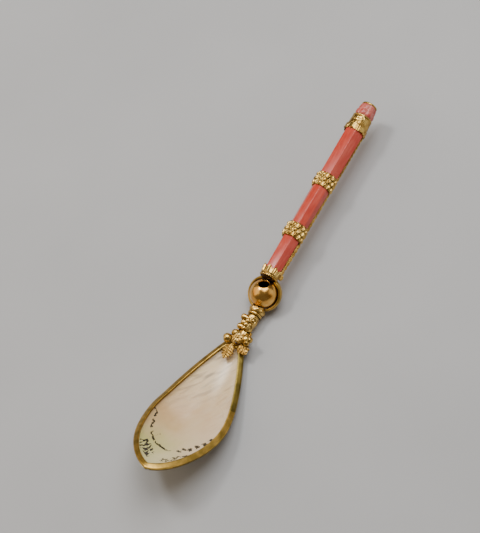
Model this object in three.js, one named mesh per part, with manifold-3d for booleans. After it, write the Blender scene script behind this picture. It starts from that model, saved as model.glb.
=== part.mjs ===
// A whistle-spoon of gilt metal, coral and mother-of-pearl.
// Breath goes in at the coral mouthpiece, down the bored handle, and across the hole of the ball.
// Millimetres. X runs along the handle towards the mouthpiece, Y to the left, Z up.
// Handle stations and heights are measured from the centre of the ball.
import * as THREE from "three";
import { mergeVertices } from "three/addons/utils/BufferGeometryUtils.js";
import Module from "manifold-3d";

// Ball
const BALL_RADIUS = 5.9;
const BALL_WALL = 0.7;
const BALL_DROP = 4.6; // handle axis above the ball's centre
const SOUND_HOLE_RADIUS = 2.2;
const SOUND_HOLE_TILT = 69; // degrees up from the handle's direction

// Straps that hold the ball
const STRAP_WIDTH = 2.6;
const STRAP_THICKNESS = 1.0;
const STRAP_CROWN = 0.2; // how much thicker a strap is along its middle
// Directions from the ball that a strap runs through: at the collar, lowest at the side, at the capital
const STRAP_ROUTE = [
  new THREE.Vector3(0.82, 0.5, 0.2),
  new THREE.Vector3(0, 0.96, -0.26),
  new THREE.Vector3(-0.76, 0.52, -0.4),
];

// Handle stations
const NOZZLE_START = 4.7;
const COLLAR_START = 6.7;
const CORAL_START = 8.4;
const CROWN_TIP = 11.6;
const LOWER_BAND = 24.4;
const UPPER_BAND = 49.4;
const BAND_LENGTH = 5.9;
const FERRULE_START = 77.8;
const FERRULE_LENGTH = 7.8;
const MOUTHPIECE_LENGTH = 5.3;
const MOUTH_RIM_LENGTH = 1.0;

// Handle sections, as radii to the corners of the facets
const LOWER_SMALL_RADIUS = 3.6;
const LOWER_LARGE_RADIUS = 3.85;
const MIDDLE_SMALL_RADIUS = 3.55;
const MIDDLE_LARGE_RADIUS = 3.8;
const UPPER_SMALL_RADIUS = 4.2;
const UPPER_LARGE_RADIUS = 4.4;
const HEXAGON_TURN = 24; // degrees from straight up to the first corner
const MIDDLE_TURN = 11.7;

// Gold mounts of the handle
const COLLAR_RADIUS = 4.15;
const COLLAR_LIP = 0.15;
const NOZZLE_RADIUS = 3.5;
const WINDWAY_WIDTH = 3.4;
const WINDWAY_HEIGHT = 0.8;
const BAND_RADIUS = 4.5;
const BAND_WAIST_RADIUS = 3.95;
const BAND_BEAD = 0.9;
const PELLET_RADIUS = 0.75;
const PELLETS_PER_ROW = 8;
const FERRULE_LARGE_RADIUS = 4.75;
const FERRULE_SMALL_RADIUS = 3.9;
const FERRULE_TEETH_LENGTH = 2.2;
const FERRULE_BEAD = 1.1;
const MOUTHPIECE_RADIUS = 3.7;
const MOUTHPIECE_END_RADIUS = 3.25;
const MOUTH_RIM_RADIUS = 3.35;
const BORE_RADIUS = 1.5;
const TUBE_WALL = 0.4;

// Scalloped crests, two along each coral length
const CREST_ANGLE = 120; // degrees from straight up, to each side
const CREST_THICKNESS = 0.9;
const CREST_RISE_AT_BALL = 1.6;
const CREST_RISE_AT_MOUTH = 0.5;
const CREST_FADES_BY = 45; // station
const SCALLOP_PITCH = 2.5;
const SCALLOP_DEPTH = 0.6;

// Neck
const NECK_HEIGHT = -3.0; // neck axis, from the ball's centre
const CAPITAL_START = -5.0;
const CAPITAL_LENGTH = 4.5;
const CAPITAL_RADIUS = 2.9;
const CAPITAL_PELLETS = 10;
const CAPITAL_PELLET_RADIUS = 0.55;
const KNOP_LENGTH = 7.2;
const KNOP_RADIUS = 2.7;
// Rolled leaf ends across the knop: station, height over the neck axis, radius and half length
const ROLLS = [
  { station: -12.1, rise: 2.0, radius: 1.25, reach: 3.9 },
  { station: -14.0, rise: 1.5, radius: 1.05, reach: 3.4 },
  { station: -15.8, rise: 1.6, radius: 1.15, reach: 3.0 },
];
const KNOP_BEAD_RADIUS = 0.95;
const KNOP_BEADS = [-13.2, -14.85, -16.5]; // stations
const STEM_RADIUS = 0.6;
const BRACKET_START_HALF_WIDTH = 1.3;
const BRACKET_START_DROP = 1.3; // below the neck axis
const BRACKET_END_DROP = 1.3; // below the heel
const BRACKET_HALF_HEIGHT = 0.9;

// Bowl, along the chord from heel to tip
const HEEL_X = -22.4;
const HEEL_Z = -2.8;
const BOWL_LENGTH = 69.5;
const BOWL_TILT = 18.2; // degrees, tip above heel
const BOWL_HALF_WIDTH = 16.55;
const BOWL_WIDEST = 38.7;
const HEEL_HALF_WIDTH = 2.4;
const BOWL_SHEER = 6.8; // rim's sag below the chord
const DISH_DEPTH = 5.0; // below the rim at the widest
const SHELL_THICKNESS = 1.3;
const RIM_WALL = 0.55;
const RIM_TOP_WIDTH = 2.1;
const RIM_UNDER_WIDTH = 1.5;

// Leaves and flowers over the heel
const LEFT_LEAF_LENGTH = 6.8;
const LEFT_LEAF_HALF_WIDTH = 2.7;
const RIGHT_LEAF_LENGTH = 5.8;
const RIGHT_LEAF_HALF_WIDTH = 2.2;
const LEAF_THICKNESS = 0.7;
const LEAF_TEETH = 4;
const BLOSSOM_RADIUS = 2.2;
const LEFT_BUD_RADIUS = 1.75;
const TOP_BUD_RADIUS = 1.25;
const BERRY_RADIUS = 0.85;

// Room left between touching pieces
const CLEARANCE = 0.15;
const BALL_CLEARANCE = 0.35;
const SHELL_CLEARANCE = 0.25;
const ROUND_SIDES = 28;
const SMALL_SIDES = 8;

// Rounded or chamfered edges of the turned mounts
const FINE_EDGE = 0.15;
const EDGE = 0.3;
const DEEP_EDGE = 0.5;

const DEG = Math.PI / 180;
const wasm = await Module();
wasm.setup();

const gold = () => new THREE.MeshStandardMaterial({ color: 0xc8993a, metalness: 1, roughness: 0.25 });
const coral = () => new THREE.MeshStandardMaterial({ color: 0xd65f48, metalness: 0, roughness: 0.3 });
const nacre = () => new THREE.MeshStandardMaterial({ color: 0xe9dacd, metalness: 0, roughness: 0.2 });

function toSolid(geometry) {
  const bare = geometry.clone();
  bare.deleteAttribute("normal");
  bare.deleteAttribute("uv");
  const merged = mergeVertices(bare, 1e-4);
  return new wasm.Manifold(
    new wasm.Mesh({
      numProp: 3,
      vertProperties: new Float32Array(merged.attributes.position.array),
      triVerts: new Uint32Array(merged.index.array),
    }),
  );
}

function toGeometry(solid) {
  const mesh = solid.getMesh();
  const geometry = new THREE.BufferGeometry();
  geometry.setAttribute("position", new THREE.BufferAttribute(mesh.vertProperties, 3));
  geometry.setIndex(new THREE.BufferAttribute(mesh.triVerts, 1));
  const flat = geometry.toNonIndexed();
  flat.computeVertexNormals();
  return flat;
}

function join(...geometries) {
  return toGeometry(geometries.map(toSolid).reduce((sum, next) => sum.add(next)));
}

function cut(body, ...tools) {
  return toGeometry(tools.map(toSolid).reduce((rest, tool) => rest.subtract(tool), toSolid(body)));
}

// Revolves [station, radius] pairs about X. Corners of a faceted section start at `turn` degrees from up.
function revolve(profile, sides = ROUND_SIDES, turn = 0) {
  const points = profile.map(([station, radius]) => new THREE.Vector2(radius, station));
  return new THREE.LatheGeometry(points, sides, turn * DEG).rotateZ(-Math.PI / 2);
}

function rod(from, to, radius, endRadius = radius, sides = ROUND_SIDES, turn = 0) {
  return revolve([[from, 0], [from, radius], [to, endRadius], [to, 0]], sides, turn);
}

function ball(radius, centre = new THREE.Vector3(), sides = 14) {
  return new THREE.SphereGeometry(radius, sides, sides / 2).translate(centre.x, centre.y, centre.z);
}

// Six times the volume that the faces enclose, negative when they face inwards.
function signedVolume(position, index) {
  const corner = (i) => new THREE.Vector3().fromArray(position, 3 * index[i]);
  let sum = 0;
  for (let i = 0; i < index.length; i += 3) {
    sum += corner(i).dot(corner(i + 1).cross(corner(i + 2)));
  }
  return sum;
}

// Skins a row of rings of points, capped at both ends or closed into a loop.
function loft(rings, closed = false) {
  const count = rings[0].length;
  const position = rings.flat().flatMap((p) => [p.x, p.y, p.z]);
  const index = [];
  const spans = closed ? rings.length : rings.length - 1;
  for (let i = 0; i < spans; i += 1) {
    const here = i * count;
    const next = ((i + 1) % rings.length) * count;
    for (let j = 0; j < count; j += 1) {
      const k = (j + 1) % count;
      index.push(here + j, here + k, next + k, here + j, next + k, next + j);
    }
  }
  if (!closed) {
    const last = (rings.length - 1) * count;
    for (let j = 1; j < count - 1; j += 1) {
      index.push(0, j + 1, j, last, last + j, last + j + 1);
    }
  }
  const geometry = new THREE.BufferGeometry();
  geometry.setAttribute("position", new THREE.Float32BufferAttribute(position, 3));
  geometry.setIndex(signedVolume(position, index) < 0 ? index.reverse() : index);
  const flat = geometry.toNonIndexed();
  flat.computeVertexNormals();
  return flat;
}

const spoon = new THREE.Group();
const handle = new THREE.Group();
handle.position.z = BALL_DROP;
spoon.add(handle);

function place(name, geometry, material, parent = spoon) {
  const mesh = new THREE.Mesh(geometry, material);
  mesh.name = name;
  parent.add(mesh);
  return mesh;
}

// Ball

function hollowBall() {
  const inner = BALL_RADIUS - BALL_WALL;
  const holeAngle = Math.asin(SOUND_HOLE_RADIUS / BALL_RADIUS);
  const innerHoleAngle = Math.asin(SOUND_HOLE_RADIUS / inner);
  const steps = 12;
  // From the edge of the hole round to just short of the pole, and then the pole itself.
  const arc = (radius, edge) => {
    const angles = Array.from({ length: steps }, (_, i) => edge + ((Math.PI - edge) * i) / steps);
    return [...angles.map((angle) => [radius * Math.cos(angle), radius * Math.sin(angle)]), [-radius, 0]];
  };
  const outside = arc(BALL_RADIUS, holeAngle).reverse();
  const inside = arc(inner, innerHoleAngle);
  return revolve([...outside, ...inside]).rotateY(-SOUND_HOLE_TILT * DEG);
}

function strap(side) {
  const mirrored = STRAP_ROUTE.map((p) => p.clone().multiply(new THREE.Vector3(1, side, 1)).normalize());
  const route = new THREE.CatmullRomCurve3(mirrored);
  const inner = BALL_RADIUS + BALL_CLEARANCE;
  const outer = inner + STRAP_THICKNESS;
  const half = STRAP_WIDTH / 2;
  const steps = 18;
  const rings = Array.from({ length: steps + 1 }, (_, i) => {
    const out = route.getPointAt(i / steps).normalize();
    const across = new THREE.Vector3().crossVectors(out, route.getTangentAt(i / steps)).normalize();
    const corner = (radius, offset) => out.clone().multiplyScalar(radius).addScaledVector(across, offset);
    return [
      corner(inner, -half),
      corner(outer, -half * 0.7),
      corner(outer + STRAP_CROWN, 0),
      corner(outer, half * 0.7),
      corner(inner, half),
    ];
  });
  return loft(rings);
}

place("ball_chamber", hollowBall(), gold());
place("ball_strap_left", strap(1), gold());
place("ball_strap_right", strap(-1), gold());

// Handle

const tubeRadius = BORE_RADIUS + TUBE_WALL;
const seatRadius = tubeRadius + CLEARANCE;
const ferruleEnd = FERRULE_START + FERRULE_LENGTH;
const mouthpieceEnd = ferruleEnd + MOUTHPIECE_LENGTH;
const mouthEnd = mouthpieceEnd + MOUTH_RIM_LENGTH;

function ringProfile(from, to, innerRadius, outerPoints) {
  return [[from, innerRadius], ...outerPoints, [to, innerRadius], [from, innerRadius]];
}

// The room kept free for the ball, at its height in the group that asks for it.
function ballRoom(height) {
  return ball(BALL_RADIUS + BALL_CLEARANCE, new THREE.Vector3(0, 0, height), ROUND_SIDES);
}

function nozzle() {
  const body = revolve([
    [NOZZLE_START, 0],
    [NOZZLE_START, NOZZLE_RADIUS - EDGE],
    [NOZZLE_START + EDGE, NOZZLE_RADIUS],
    [COLLAR_START - CLEARANCE, NOZZLE_RADIUS],
    [COLLAR_START - CLEARANCE, 0],
  ]);
  const length = COLLAR_START - NOZZLE_START;
  const windway = new THREE.BoxGeometry(3 * length, WINDWAY_WIDTH, WINDWAY_HEIGHT);
  windway.translate(NOZZLE_START, 0, -BORE_RADIUS + WINDWAY_HEIGHT / 2);
  return cut(body, windway, ballRoom(-BALL_DROP));
}

// Notches between leaf tips: one at each corner of the facets, open towards `tip`.
function crownNotches(base, tip, sides, turn) {
  const width = 2 * BAND_RADIUS * Math.sin(Math.PI / sides);
  const direction = Math.sign(tip - base);
  const reach = tip + direction;
  return Array.from({ length: sides }, (_, i) => {
    const shape = new THREE.Shape();
    shape.moveTo(base, 0);
    shape.lineTo(reach, (-width / 2) * 1.25);
    shape.lineTo(reach, (width / 2) * 1.25);
    shape.closePath();
    const wedge = new THREE.ExtrudeGeometry(shape, { depth: 2 * BAND_RADIUS, bevelEnabled: false });
    return wedge.rotateX(-(turn + (360 / sides) * i) * DEG);
  });
}

function collar() {
  const sides = 6;
  const crownBase = CORAL_START + CLEARANCE;
  const sleeve = revolve(
    ringProfile(COLLAR_START, CROWN_TIP, seatRadius, [
      [COLLAR_START, COLLAR_RADIUS - EDGE],
      [COLLAR_START + DEEP_EDGE, COLLAR_RADIUS + COLLAR_LIP],
      [COLLAR_START + 2 * DEEP_EDGE, COLLAR_RADIUS - FINE_EDGE],
      [CROWN_TIP, COLLAR_RADIUS],
    ]),
  );
  const grown = (CROWN_TIP - CORAL_START) / (LOWER_BAND - CORAL_START);
  const room = THREE.MathUtils.lerp(LOWER_SMALL_RADIUS, LOWER_LARGE_RADIUS, grown) + CLEARANCE;
  const coralRoom = rod(CORAL_START - CLEARANCE, CROWN_TIP + 1, room, room, sides, HEXAGON_TURN);
  const notches = crownNotches(crownBase, CROWN_TIP, sides, HEXAGON_TURN);
  return cut(sleeve, coralRoom, ballRoom(-BALL_DROP), ...notches);
}

function coralLength(from, to, radius, endRadius, sides, turn) {
  const body = rod(from, to, radius, endRadius, sides, turn);
  return cut(body, rod(from - 1, to + 1, seatRadius));
}

function band(from) {
  const to = from + BAND_LENGTH;
  const middle = from + BAND_LENGTH / 2;
  const drum = revolve(
    ringProfile(from, to, seatRadius, [
      [from, BAND_RADIUS - EDGE],
      [from + EDGE, BAND_RADIUS],
      [from + BAND_BEAD - EDGE, BAND_RADIUS],
      [from + BAND_BEAD, BAND_WAIST_RADIUS],
      [to - BAND_BEAD, BAND_WAIST_RADIUS],
      [to - BAND_BEAD + EDGE, BAND_RADIUS],
      [to - EDGE, BAND_RADIUS],
      [to, BAND_RADIUS - EDGE],
    ]),
  );
  const pellets = Array.from({ length: PELLETS_PER_ROW }, (_, i) => {
    const pellet = ball(PELLET_RADIUS, new THREE.Vector3(middle, 0, BAND_WAIST_RADIUS), SMALL_SIDES);
    return pellet.rotateX(((i + 0.5) * 2 * Math.PI) / PELLETS_PER_ROW);
  });
  return join(drum, ...pellets);
}

function ferrule() {
  const sides = 6;
  const teethEnd = FERRULE_START + FERRULE_TEETH_LENGTH;
  const room = UPPER_LARGE_RADIUS + CLEARANCE;
  const coralRoom = rod(FERRULE_START - 1, teethEnd + CLEARANCE, room, room, sides, HEXAGON_TURN);
  const sleeve = revolve(
    ringProfile(FERRULE_START, ferruleEnd, seatRadius, [
      [FERRULE_START, FERRULE_LARGE_RADIUS],
      [teethEnd, FERRULE_LARGE_RADIUS],
      [ferruleEnd - FERRULE_BEAD - EDGE, FERRULE_SMALL_RADIUS],
      [ferruleEnd - FERRULE_BEAD, FERRULE_SMALL_RADIUS + EDGE],
      [ferruleEnd - EDGE, FERRULE_SMALL_RADIUS + EDGE],
      [ferruleEnd, FERRULE_SMALL_RADIUS],
    ]),
  );
  return cut(sleeve, coralRoom, ...crownNotches(teethEnd, FERRULE_START, sides, HEXAGON_TURN));
}

function mouthpiece() {
  const from = ferruleEnd + CLEARANCE;
  const to = mouthpieceEnd;
  return revolve(
    ringProfile(from, to, seatRadius, [
      [from, MOUTHPIECE_RADIUS - EDGE],
      [from + MOUTHPIECE_LENGTH / 4, MOUTHPIECE_RADIUS],
      [from + MOUTHPIECE_LENGTH / 2, MOUTHPIECE_RADIUS - FINE_EDGE],
      [to, MOUTHPIECE_END_RADIUS],
    ]),
  );
}

function mouthRim() {
  const from = mouthpieceEnd + CLEARANCE;
  return revolve(
    ringProfile(from, mouthEnd, BORE_RADIUS, [
      [from, MOUTH_RIM_RADIUS - FINE_EDGE],
      [from + FINE_EDGE, MOUTH_RIM_RADIUS],
      [mouthEnd - EDGE, MOUTH_RIM_RADIUS],
      [mouthEnd, MOUTH_RIM_RADIUS - EDGE],
    ]),
  );
}

function airTube() {
  const from = COLLAR_START;
  const to = mouthpieceEnd;
  return revolve(ringProfile(from, to, BORE_RADIUS, [[from, tubeRadius], [to, tubeRadius]]));
}

// How far from the axis a crest has to stand to clear the facets at its angle.
function facetHeight(radius, sides, turn, angle) {
  const flat = radius * Math.cos(Math.PI / sides);
  const leans = Array.from({ length: sides }, (_, i) => (turn + ((i + 0.5) * 360) / sides - angle) * DEG);
  const facing = leans.filter((lean) => Math.cos(lean) > 0.1);
  const height = (offset, lean) => (flat - offset * Math.sin(lean)) / Math.cos(lean);
  const surface = (offset) => Math.min(...facing.map((lean) => height(offset, lean)));
  const half = CREST_THICKNESS / 2;
  return Math.max(surface(-half), surface(0), surface(half)) + CLEARANCE;
}

// A thin strip standing on the coral, with a scalloped outer edge. It steps over the collar where they meet.
function crest({ crestFrom, crestTo, onCollar, from, to, radii, sides, turn }, side) {
  const angle = side * CREST_ANGLE;
  const foot = (station) => {
    const radius = THREE.MathUtils.mapLinear(station, from, to, radii[0], radii[1]);
    return facetHeight(radius, sides, turn, angle);
  };
  const rise = (station) => {
    const share = THREE.MathUtils.clamp((station - CORAL_START) / (CREST_FADES_BY - CORAL_START), 0, 1);
    return THREE.MathUtils.lerp(CREST_RISE_AT_BALL, CREST_RISE_AT_MOUTH, share);
  };
  const scallops = Math.round((crestTo - crestFrom) / SCALLOP_PITCH);
  const pitch = (crestTo - crestFrom) / scallops;
  const step = CROWN_TIP + CLEARANCE;
  const collarFoot = COLLAR_RADIUS + COLLAR_LIP + CLEARANCE;
  const outline = new THREE.Shape();
  outline.moveTo(crestFrom, onCollar ? collarFoot : foot(crestFrom));
  for (let i = 0; i < scallops; i += 1) {
    const start = crestFrom + i * pitch;
    const middle = start + pitch / 2;
    const floor = onCollar && start < step ? collarFoot : foot(middle);
    const height = foot(middle) + rise(middle);
    const valley = Math.max(height - SCALLOP_DEPTH, floor + 0.2);
    outline.lineTo(start, valley);
    outline.quadraticCurveTo(middle, 2 * Math.max(height, valley + 0.2) - valley, start + pitch, valley);
  }
  outline.lineTo(crestTo, foot(crestTo));
  if (onCollar) {
    outline.lineTo(step, foot(step));
    outline.lineTo(step, collarFoot);
  }
  outline.closePath();
  const options = { depth: CREST_THICKNESS, bevelEnabled: false, curveSegments: 4 };
  return new THREE.ExtrudeGeometry(outline, options)
    .translate(0, 0, -CREST_THICKNESS / 2)
    .rotateX(Math.PI / 2)
    .rotateX(angle * DEG);
}

const lengths = [
  {
    name: "lower",
    from: CORAL_START,
    to: LOWER_BAND - CLEARANCE,
    crestFrom: COLLAR_START + CLEARANCE,
    crestTo: LOWER_BAND - CLEARANCE,
    onCollar: true,
    radii: [LOWER_SMALL_RADIUS, LOWER_LARGE_RADIUS],
    sides: 6,
    turn: HEXAGON_TURN,
  },
  {
    name: "middle",
    from: LOWER_BAND + BAND_LENGTH + CLEARANCE,
    to: UPPER_BAND - CLEARANCE,
    crestFrom: LOWER_BAND + BAND_LENGTH + CLEARANCE,
    crestTo: UPPER_BAND - CLEARANCE,
    radii: [MIDDLE_SMALL_RADIUS, MIDDLE_LARGE_RADIUS],
    sides: 8,
    turn: MIDDLE_TURN,
  },
  {
    name: "upper",
    from: UPPER_BAND + BAND_LENGTH + CLEARANCE,
    to: FERRULE_START + FERRULE_TEETH_LENGTH - CLEARANCE,
    crestFrom: UPPER_BAND + BAND_LENGTH + CLEARANCE,
    crestTo: FERRULE_START - CLEARANCE,
    radii: [UPPER_SMALL_RADIUS, UPPER_LARGE_RADIUS],
    sides: 6,
    turn: HEXAGON_TURN,
  },
];

place("nozzle", nozzle(), gold(), handle);
place("collar", collar(), gold(), handle);
place("air_tube", airTube(), gold(), handle);
for (const length of lengths) {
  const { name, from, to, radii, sides, turn } = length;
  place("coral_" + name, coralLength(from, to, radii[0], radii[1], sides, turn), coral(), handle);
  for (const [word, side] of [["left", -1], ["right", 1]]) {
    place("crest_" + name + "_" + word, crest(length, side), gold(), handle);
  }
}
place("band_lower", band(LOWER_BAND), gold(), handle);
place("band_upper", band(UPPER_BAND), gold(), handle);
place("ferrule", ferrule(), gold(), handle);
place("mouthpiece", mouthpiece(), coral(), handle);
place("mouth_rim", mouthRim(), gold(), handle);

// Bowl, in plan: u runs along the chord from the heel, v across

const chord = new THREE.Group();
chord.position.set(HEEL_X, 0, HEEL_Z);
chord.rotation.set(0, BOWL_TILT * DEG, Math.PI);
spoon.add(chord);

const heelCurve = new THREE.CubicBezierCurve(
  new THREE.Vector2(0, HEEL_HALF_WIDTH),
  new THREE.Vector2(BOWL_WIDEST * 0.2, BOWL_HALF_WIDTH * 0.41),
  new THREE.Vector2(BOWL_WIDEST * 0.7, BOWL_HALF_WIDTH),
  new THREE.Vector2(BOWL_WIDEST, BOWL_HALF_WIDTH),
);
const tipRun = BOWL_LENGTH - BOWL_WIDEST;
const tipCurve = new THREE.CubicBezierCurve(
  new THREE.Vector2(BOWL_WIDEST, BOWL_HALF_WIDTH),
  new THREE.Vector2(BOWL_WIDEST + tipRun * 0.465, BOWL_HALF_WIDTH),
  new THREE.Vector2(BOWL_LENGTH - tipRun * 0.095, BOWL_HALF_WIDTH * 0.53),
  new THREE.Vector2(BOWL_LENGTH, 0),
);
const OUTLINE_STEPS = 15;
const halfOutline = [...heelCurve.getPoints(OUTLINE_STEPS), ...tipCurve.getPoints(OUTLINE_STEPS).slice(1)];

// The outline all round, anticlockwise: one side to the tip, the other side back, and across the heel.
const outline = [
  ...halfOutline.map((p) => new THREE.Vector2(p.x, -p.y)),
  ...halfOutline.slice(0, -1).reverse(),
  new THREE.Vector2(0, 0),
];

// Moves every point of the closed outline inwards, mitred at the corners.
function inset(points, distance) {
  return points.map((point, i) => {
    const before = points[(i + points.length - 1) % points.length];
    const after = points[(i + 1) % points.length];
    const into = point.clone().sub(before).normalize();
    const out = after.clone().sub(point).normalize();
    const normal = new THREE.Vector2(-into.y - out.y, into.x + out.x).normalize();
    const mitre = normal.dot(new THREE.Vector2(-into.y, into.x));
    return point.clone().addScaledVector(normal, distance / mitre);
  });
}

function halfWidthAt(u) {
  const bounded = THREE.MathUtils.clamp(u, 0, BOWL_LENGTH);
  const after = Math.max(1, halfOutline.findIndex((p) => p.x >= bounded));
  const [a, b] = [halfOutline[after - 1], halfOutline[after]];
  return THREE.MathUtils.mapLinear(bounded, a.x, b.x, a.y, b.y);
}

// Height of the dish over the chord, at a point in plan.
function dishHeight(u, v) {
  const along = THREE.MathUtils.clamp(u / BOWL_LENGTH, 0, 1);
  const halfWidth = Math.max(HEEL_HALF_WIDTH / 4, halfWidthAt(u));
  const across = Math.min(1, Math.abs(v) / halfWidth);
  const sheer = BOWL_SHEER * 4 * along * (1 - along);
  const depth = DISH_DEPTH * Math.pow(halfWidth / BOWL_HALF_WIDTH, 1.25);
  return -sheer - depth * (1 - across * across);
}

const onDish = (u, v, lift) => new THREE.Vector3(u, v, dishHeight(u, v) + lift);
const shellTop = -RIM_WALL - SHELL_CLEARANCE;
const shellUnderside = shellTop - SHELL_THICKNESS;

// The shell's edge sits in the channel of the rim.
function bowlShell() {
  const edge = inset(outline, RIM_WALL + SHELL_CLEARANCE).slice(0, halfOutline.length - 1);
  const steps = 10;
  const rings = edge.map((corner) => {
    const across = Array.from({ length: steps + 1 }, (_, i) => corner.y * Math.cos((Math.PI * i) / steps));
    const over = across.map((v) => onDish(corner.x, v, shellTop));
    const under = across.map((v) => onDish(corner.x, v, shellUnderside)).reverse();
    return [...over, ...under];
  });
  return loft(rings);
}

// A folded gold channel round the shell's edge, mitred at the tip.
function bowlRim() {
  const fold = [
    [0, 0],
    [RIM_TOP_WIDTH, 0],
    [RIM_TOP_WIDTH, -RIM_WALL],
    [RIM_WALL, -RIM_WALL],
    [RIM_WALL, shellUnderside - SHELL_CLEARANCE],
    [RIM_UNDER_WIDTH, shellUnderside - SHELL_CLEARANCE],
    [RIM_UNDER_WIDTH, shellUnderside - SHELL_CLEARANCE - RIM_WALL],
    [0, shellUnderside - SHELL_CLEARANCE - RIM_WALL],
  ];
  const lines = fold.map(([distance, lift]) => inset(outline, distance).map((p) => onDish(p.x, p.y, lift)));
  const rings = outline.map((_, i) => lines.map((line) => line[i]));
  return loft(rings, true);
}

place("shell_bowl", bowlShell(), nacre(), chord);
place("bowl_rim", bowlRim(), gold(), chord);

// Neck

function capital() {
  const back = CAPITAL_START - CAPITAL_LENGTH;
  const rim = back + CAPITAL_LENGTH / 4;
  const drum = CAPITAL_RADIUS - FINE_EDGE;
  const body = revolve(
    [
      [back, 0],
      [back, CAPITAL_RADIUS - DEEP_EDGE],
      [back + EDGE, CAPITAL_RADIUS],
      [rim - EDGE, CAPITAL_RADIUS],
      [rim, CAPITAL_RADIUS - DEEP_EDGE],
      [rim + EDGE, CAPITAL_RADIUS - DEEP_EDGE],
      [rim + 2 * EDGE, drum],
      [CAPITAL_START - DEEP_EDGE, drum],
      [CAPITAL_START, drum - DEEP_EDGE],
      [CAPITAL_START, 0],
    ],
    20,
  );
  const pellets = Array.from({ length: CAPITAL_PELLETS }, (_, i) => {
    const centre = new THREE.Vector3((rim + CAPITAL_START) / 2, 0, drum);
    return ball(CAPITAL_PELLET_RADIUS, centre, SMALL_SIDES).rotateX((i * 2 * Math.PI) / CAPITAL_PELLETS);
  });
  return cut(join(body, ...pellets), ballRoom(-NECK_HEIGHT)).translate(0, 0, NECK_HEIGHT);
}

// A barrel of leaves, with three pairs of rolled leaf ends standing out at its sides.
function knop() {
  const front = CAPITAL_START - CAPITAL_LENGTH - CLEARANCE;
  const back = front - KNOP_LENGTH;
  const barrel = revolve(
    [
      [back, 0],
      [back, KNOP_RADIUS * 0.45],
      [back + 2 * EDGE, KNOP_RADIUS * 0.68],
      [back + KNOP_LENGTH / 3, KNOP_RADIUS * 0.93],
      [front - KNOP_LENGTH / 3, KNOP_RADIUS],
      [front - DEEP_EDGE, KNOP_RADIUS * 0.95],
      [front, KNOP_RADIUS * 0.85],
      [front, 0],
    ],
    16,
  );
  const rolls = ROLLS.map(({ station, rise, radius, reach }) =>
    new THREE.CapsuleGeometry(radius, 2 * (reach - radius), 3, 10).translate(station, 0, rise),
  );
  return join(barrel, ...rolls).translate(0, 0, NECK_HEIGHT);
}

// Three beads in a row along the top of the knop, soldered to one another.
function knopCrest() {
  const resting = (station) =>
    ROLLS.map((roll) => {
      const apart = roll.radius + KNOP_BEAD_RADIUS + CLEARANCE;
      const offset = Math.min(apart, Math.abs(station - roll.station));
      return NECK_HEIGHT + roll.rise + Math.sqrt(apart * apart - offset * offset);
    });
  const beads = KNOP_BEADS.map((station) =>
    ball(KNOP_BEAD_RADIUS, new THREE.Vector3(station, 0, Math.max(...resting(station))), 10),
  );
  return join(...beads);
}

function stem(points, radius) {
  const route = new THREE.CatmullRomCurve3(points);
  const steps = 9;
  const frames = route.computeFrenetFrames(steps);
  const sides = 8;
  const rings = frames.normals.map((normal, i) => {
    const centre = route.getPointAt(i / steps);
    return Array.from({ length: sides }, (_, j) => {
      const angle = (2 * Math.PI * j) / sides;
      return centre
        .clone()
        .addScaledVector(normal, radius * Math.cos(angle))
        .addScaledVector(frames.binormals[i], radius * Math.sin(angle));
    });
  });
  return loft(rings);
}

const knopEnd = CAPITAL_START - CAPITAL_LENGTH - CLEARANCE - KNOP_LENGTH;

// From the end of the knop down to the heel of the rim, under the leaves.
function heelBracket() {
  const from = knopEnd - CLEARANCE;
  const to = HEEL_X + CLEARANCE;
  const steps = 6;
  const sides = 14;
  const rings = Array.from({ length: steps + 1 }, (_, i) => {
    const share = i / steps;
    const halfWidth = THREE.MathUtils.lerp(BRACKET_START_HALF_WIDTH, HEEL_HALF_WIDTH - 0.3, share);
    const station = THREE.MathUtils.lerp(from, to, share);
    const height = THREE.MathUtils.lerp(NECK_HEIGHT - BRACKET_START_DROP, HEEL_Z - BRACKET_END_DROP, share);
    return Array.from({ length: sides }, (_, j) => {
      const angle = (2 * Math.PI * j) / sides;
      const aside = halfWidth * Math.cos(angle);
      return new THREE.Vector3(station, aside, height + BRACKET_HALF_HEIGHT * Math.sin(angle));
    });
  });
  return loft(rings);
}

// A pointed leaf with a toothed edge and a rib, lying flat from its stalk towards -X.
function leaf(base, angle, length, halfWidth) {
  const side = (sign) =>
    Array.from({ length: 2 * LEAF_TEETH + 1 }, (_, i) => {
      const share = (i + 0.5) / (2 * LEAF_TEETH + 1);
      const half = halfWidth * Math.sin(Math.PI * Math.pow(share, 0.8)) * (i % 2 ? 1 : 0.78);
      return new THREE.Vector2(-length * share, sign * half);
    });
  const tip = new THREE.Vector2(-length, 0);
  const shape = new THREE.Shape([new THREE.Vector2(0, 0), ...side(1), tip, ...side(-1).reverse()]);
  const blade = new THREE.ExtrudeGeometry(shape, { depth: LEAF_THICKNESS, bevelEnabled: false });
  const rib = new THREE.CylinderGeometry(0.12, 0.3, length * 0.9, 8)
    .rotateZ(Math.PI / 2)
    .translate(-length * 0.48, 0, LEAF_THICKNESS);
  return join(blade, rib).rotateZ(angle * DEG).translate(base.x, base.y, base.z);
}

// A ribbed bud or flower head: a ball with lobes round its upright axis.
function ribbedBud(centre, radius, lobes) {
  const petal = (i) => {
    const angle = (2 * Math.PI * i) / lobes;
    const lobe = new THREE.SphereGeometry(radius * 0.5, 7, 5).scale(1, 1, 1.25);
    return lobe.translate(radius * 0.5 * Math.cos(angle), radius * 0.5 * Math.sin(angle), -radius * 0.1);
  };
  const petals = Array.from({ length: lobes }, (_, i) => petal(i));
  const heart = new THREE.SphereGeometry(radius * 0.42, 8, 5).translate(0, 0, radius * 0.55);
  const cup = new THREE.SphereGeometry(radius * 0.6, 10, 6);
  return join(cup, ...petals, heart).translate(centre.x, centre.y, centre.z);
}

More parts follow.
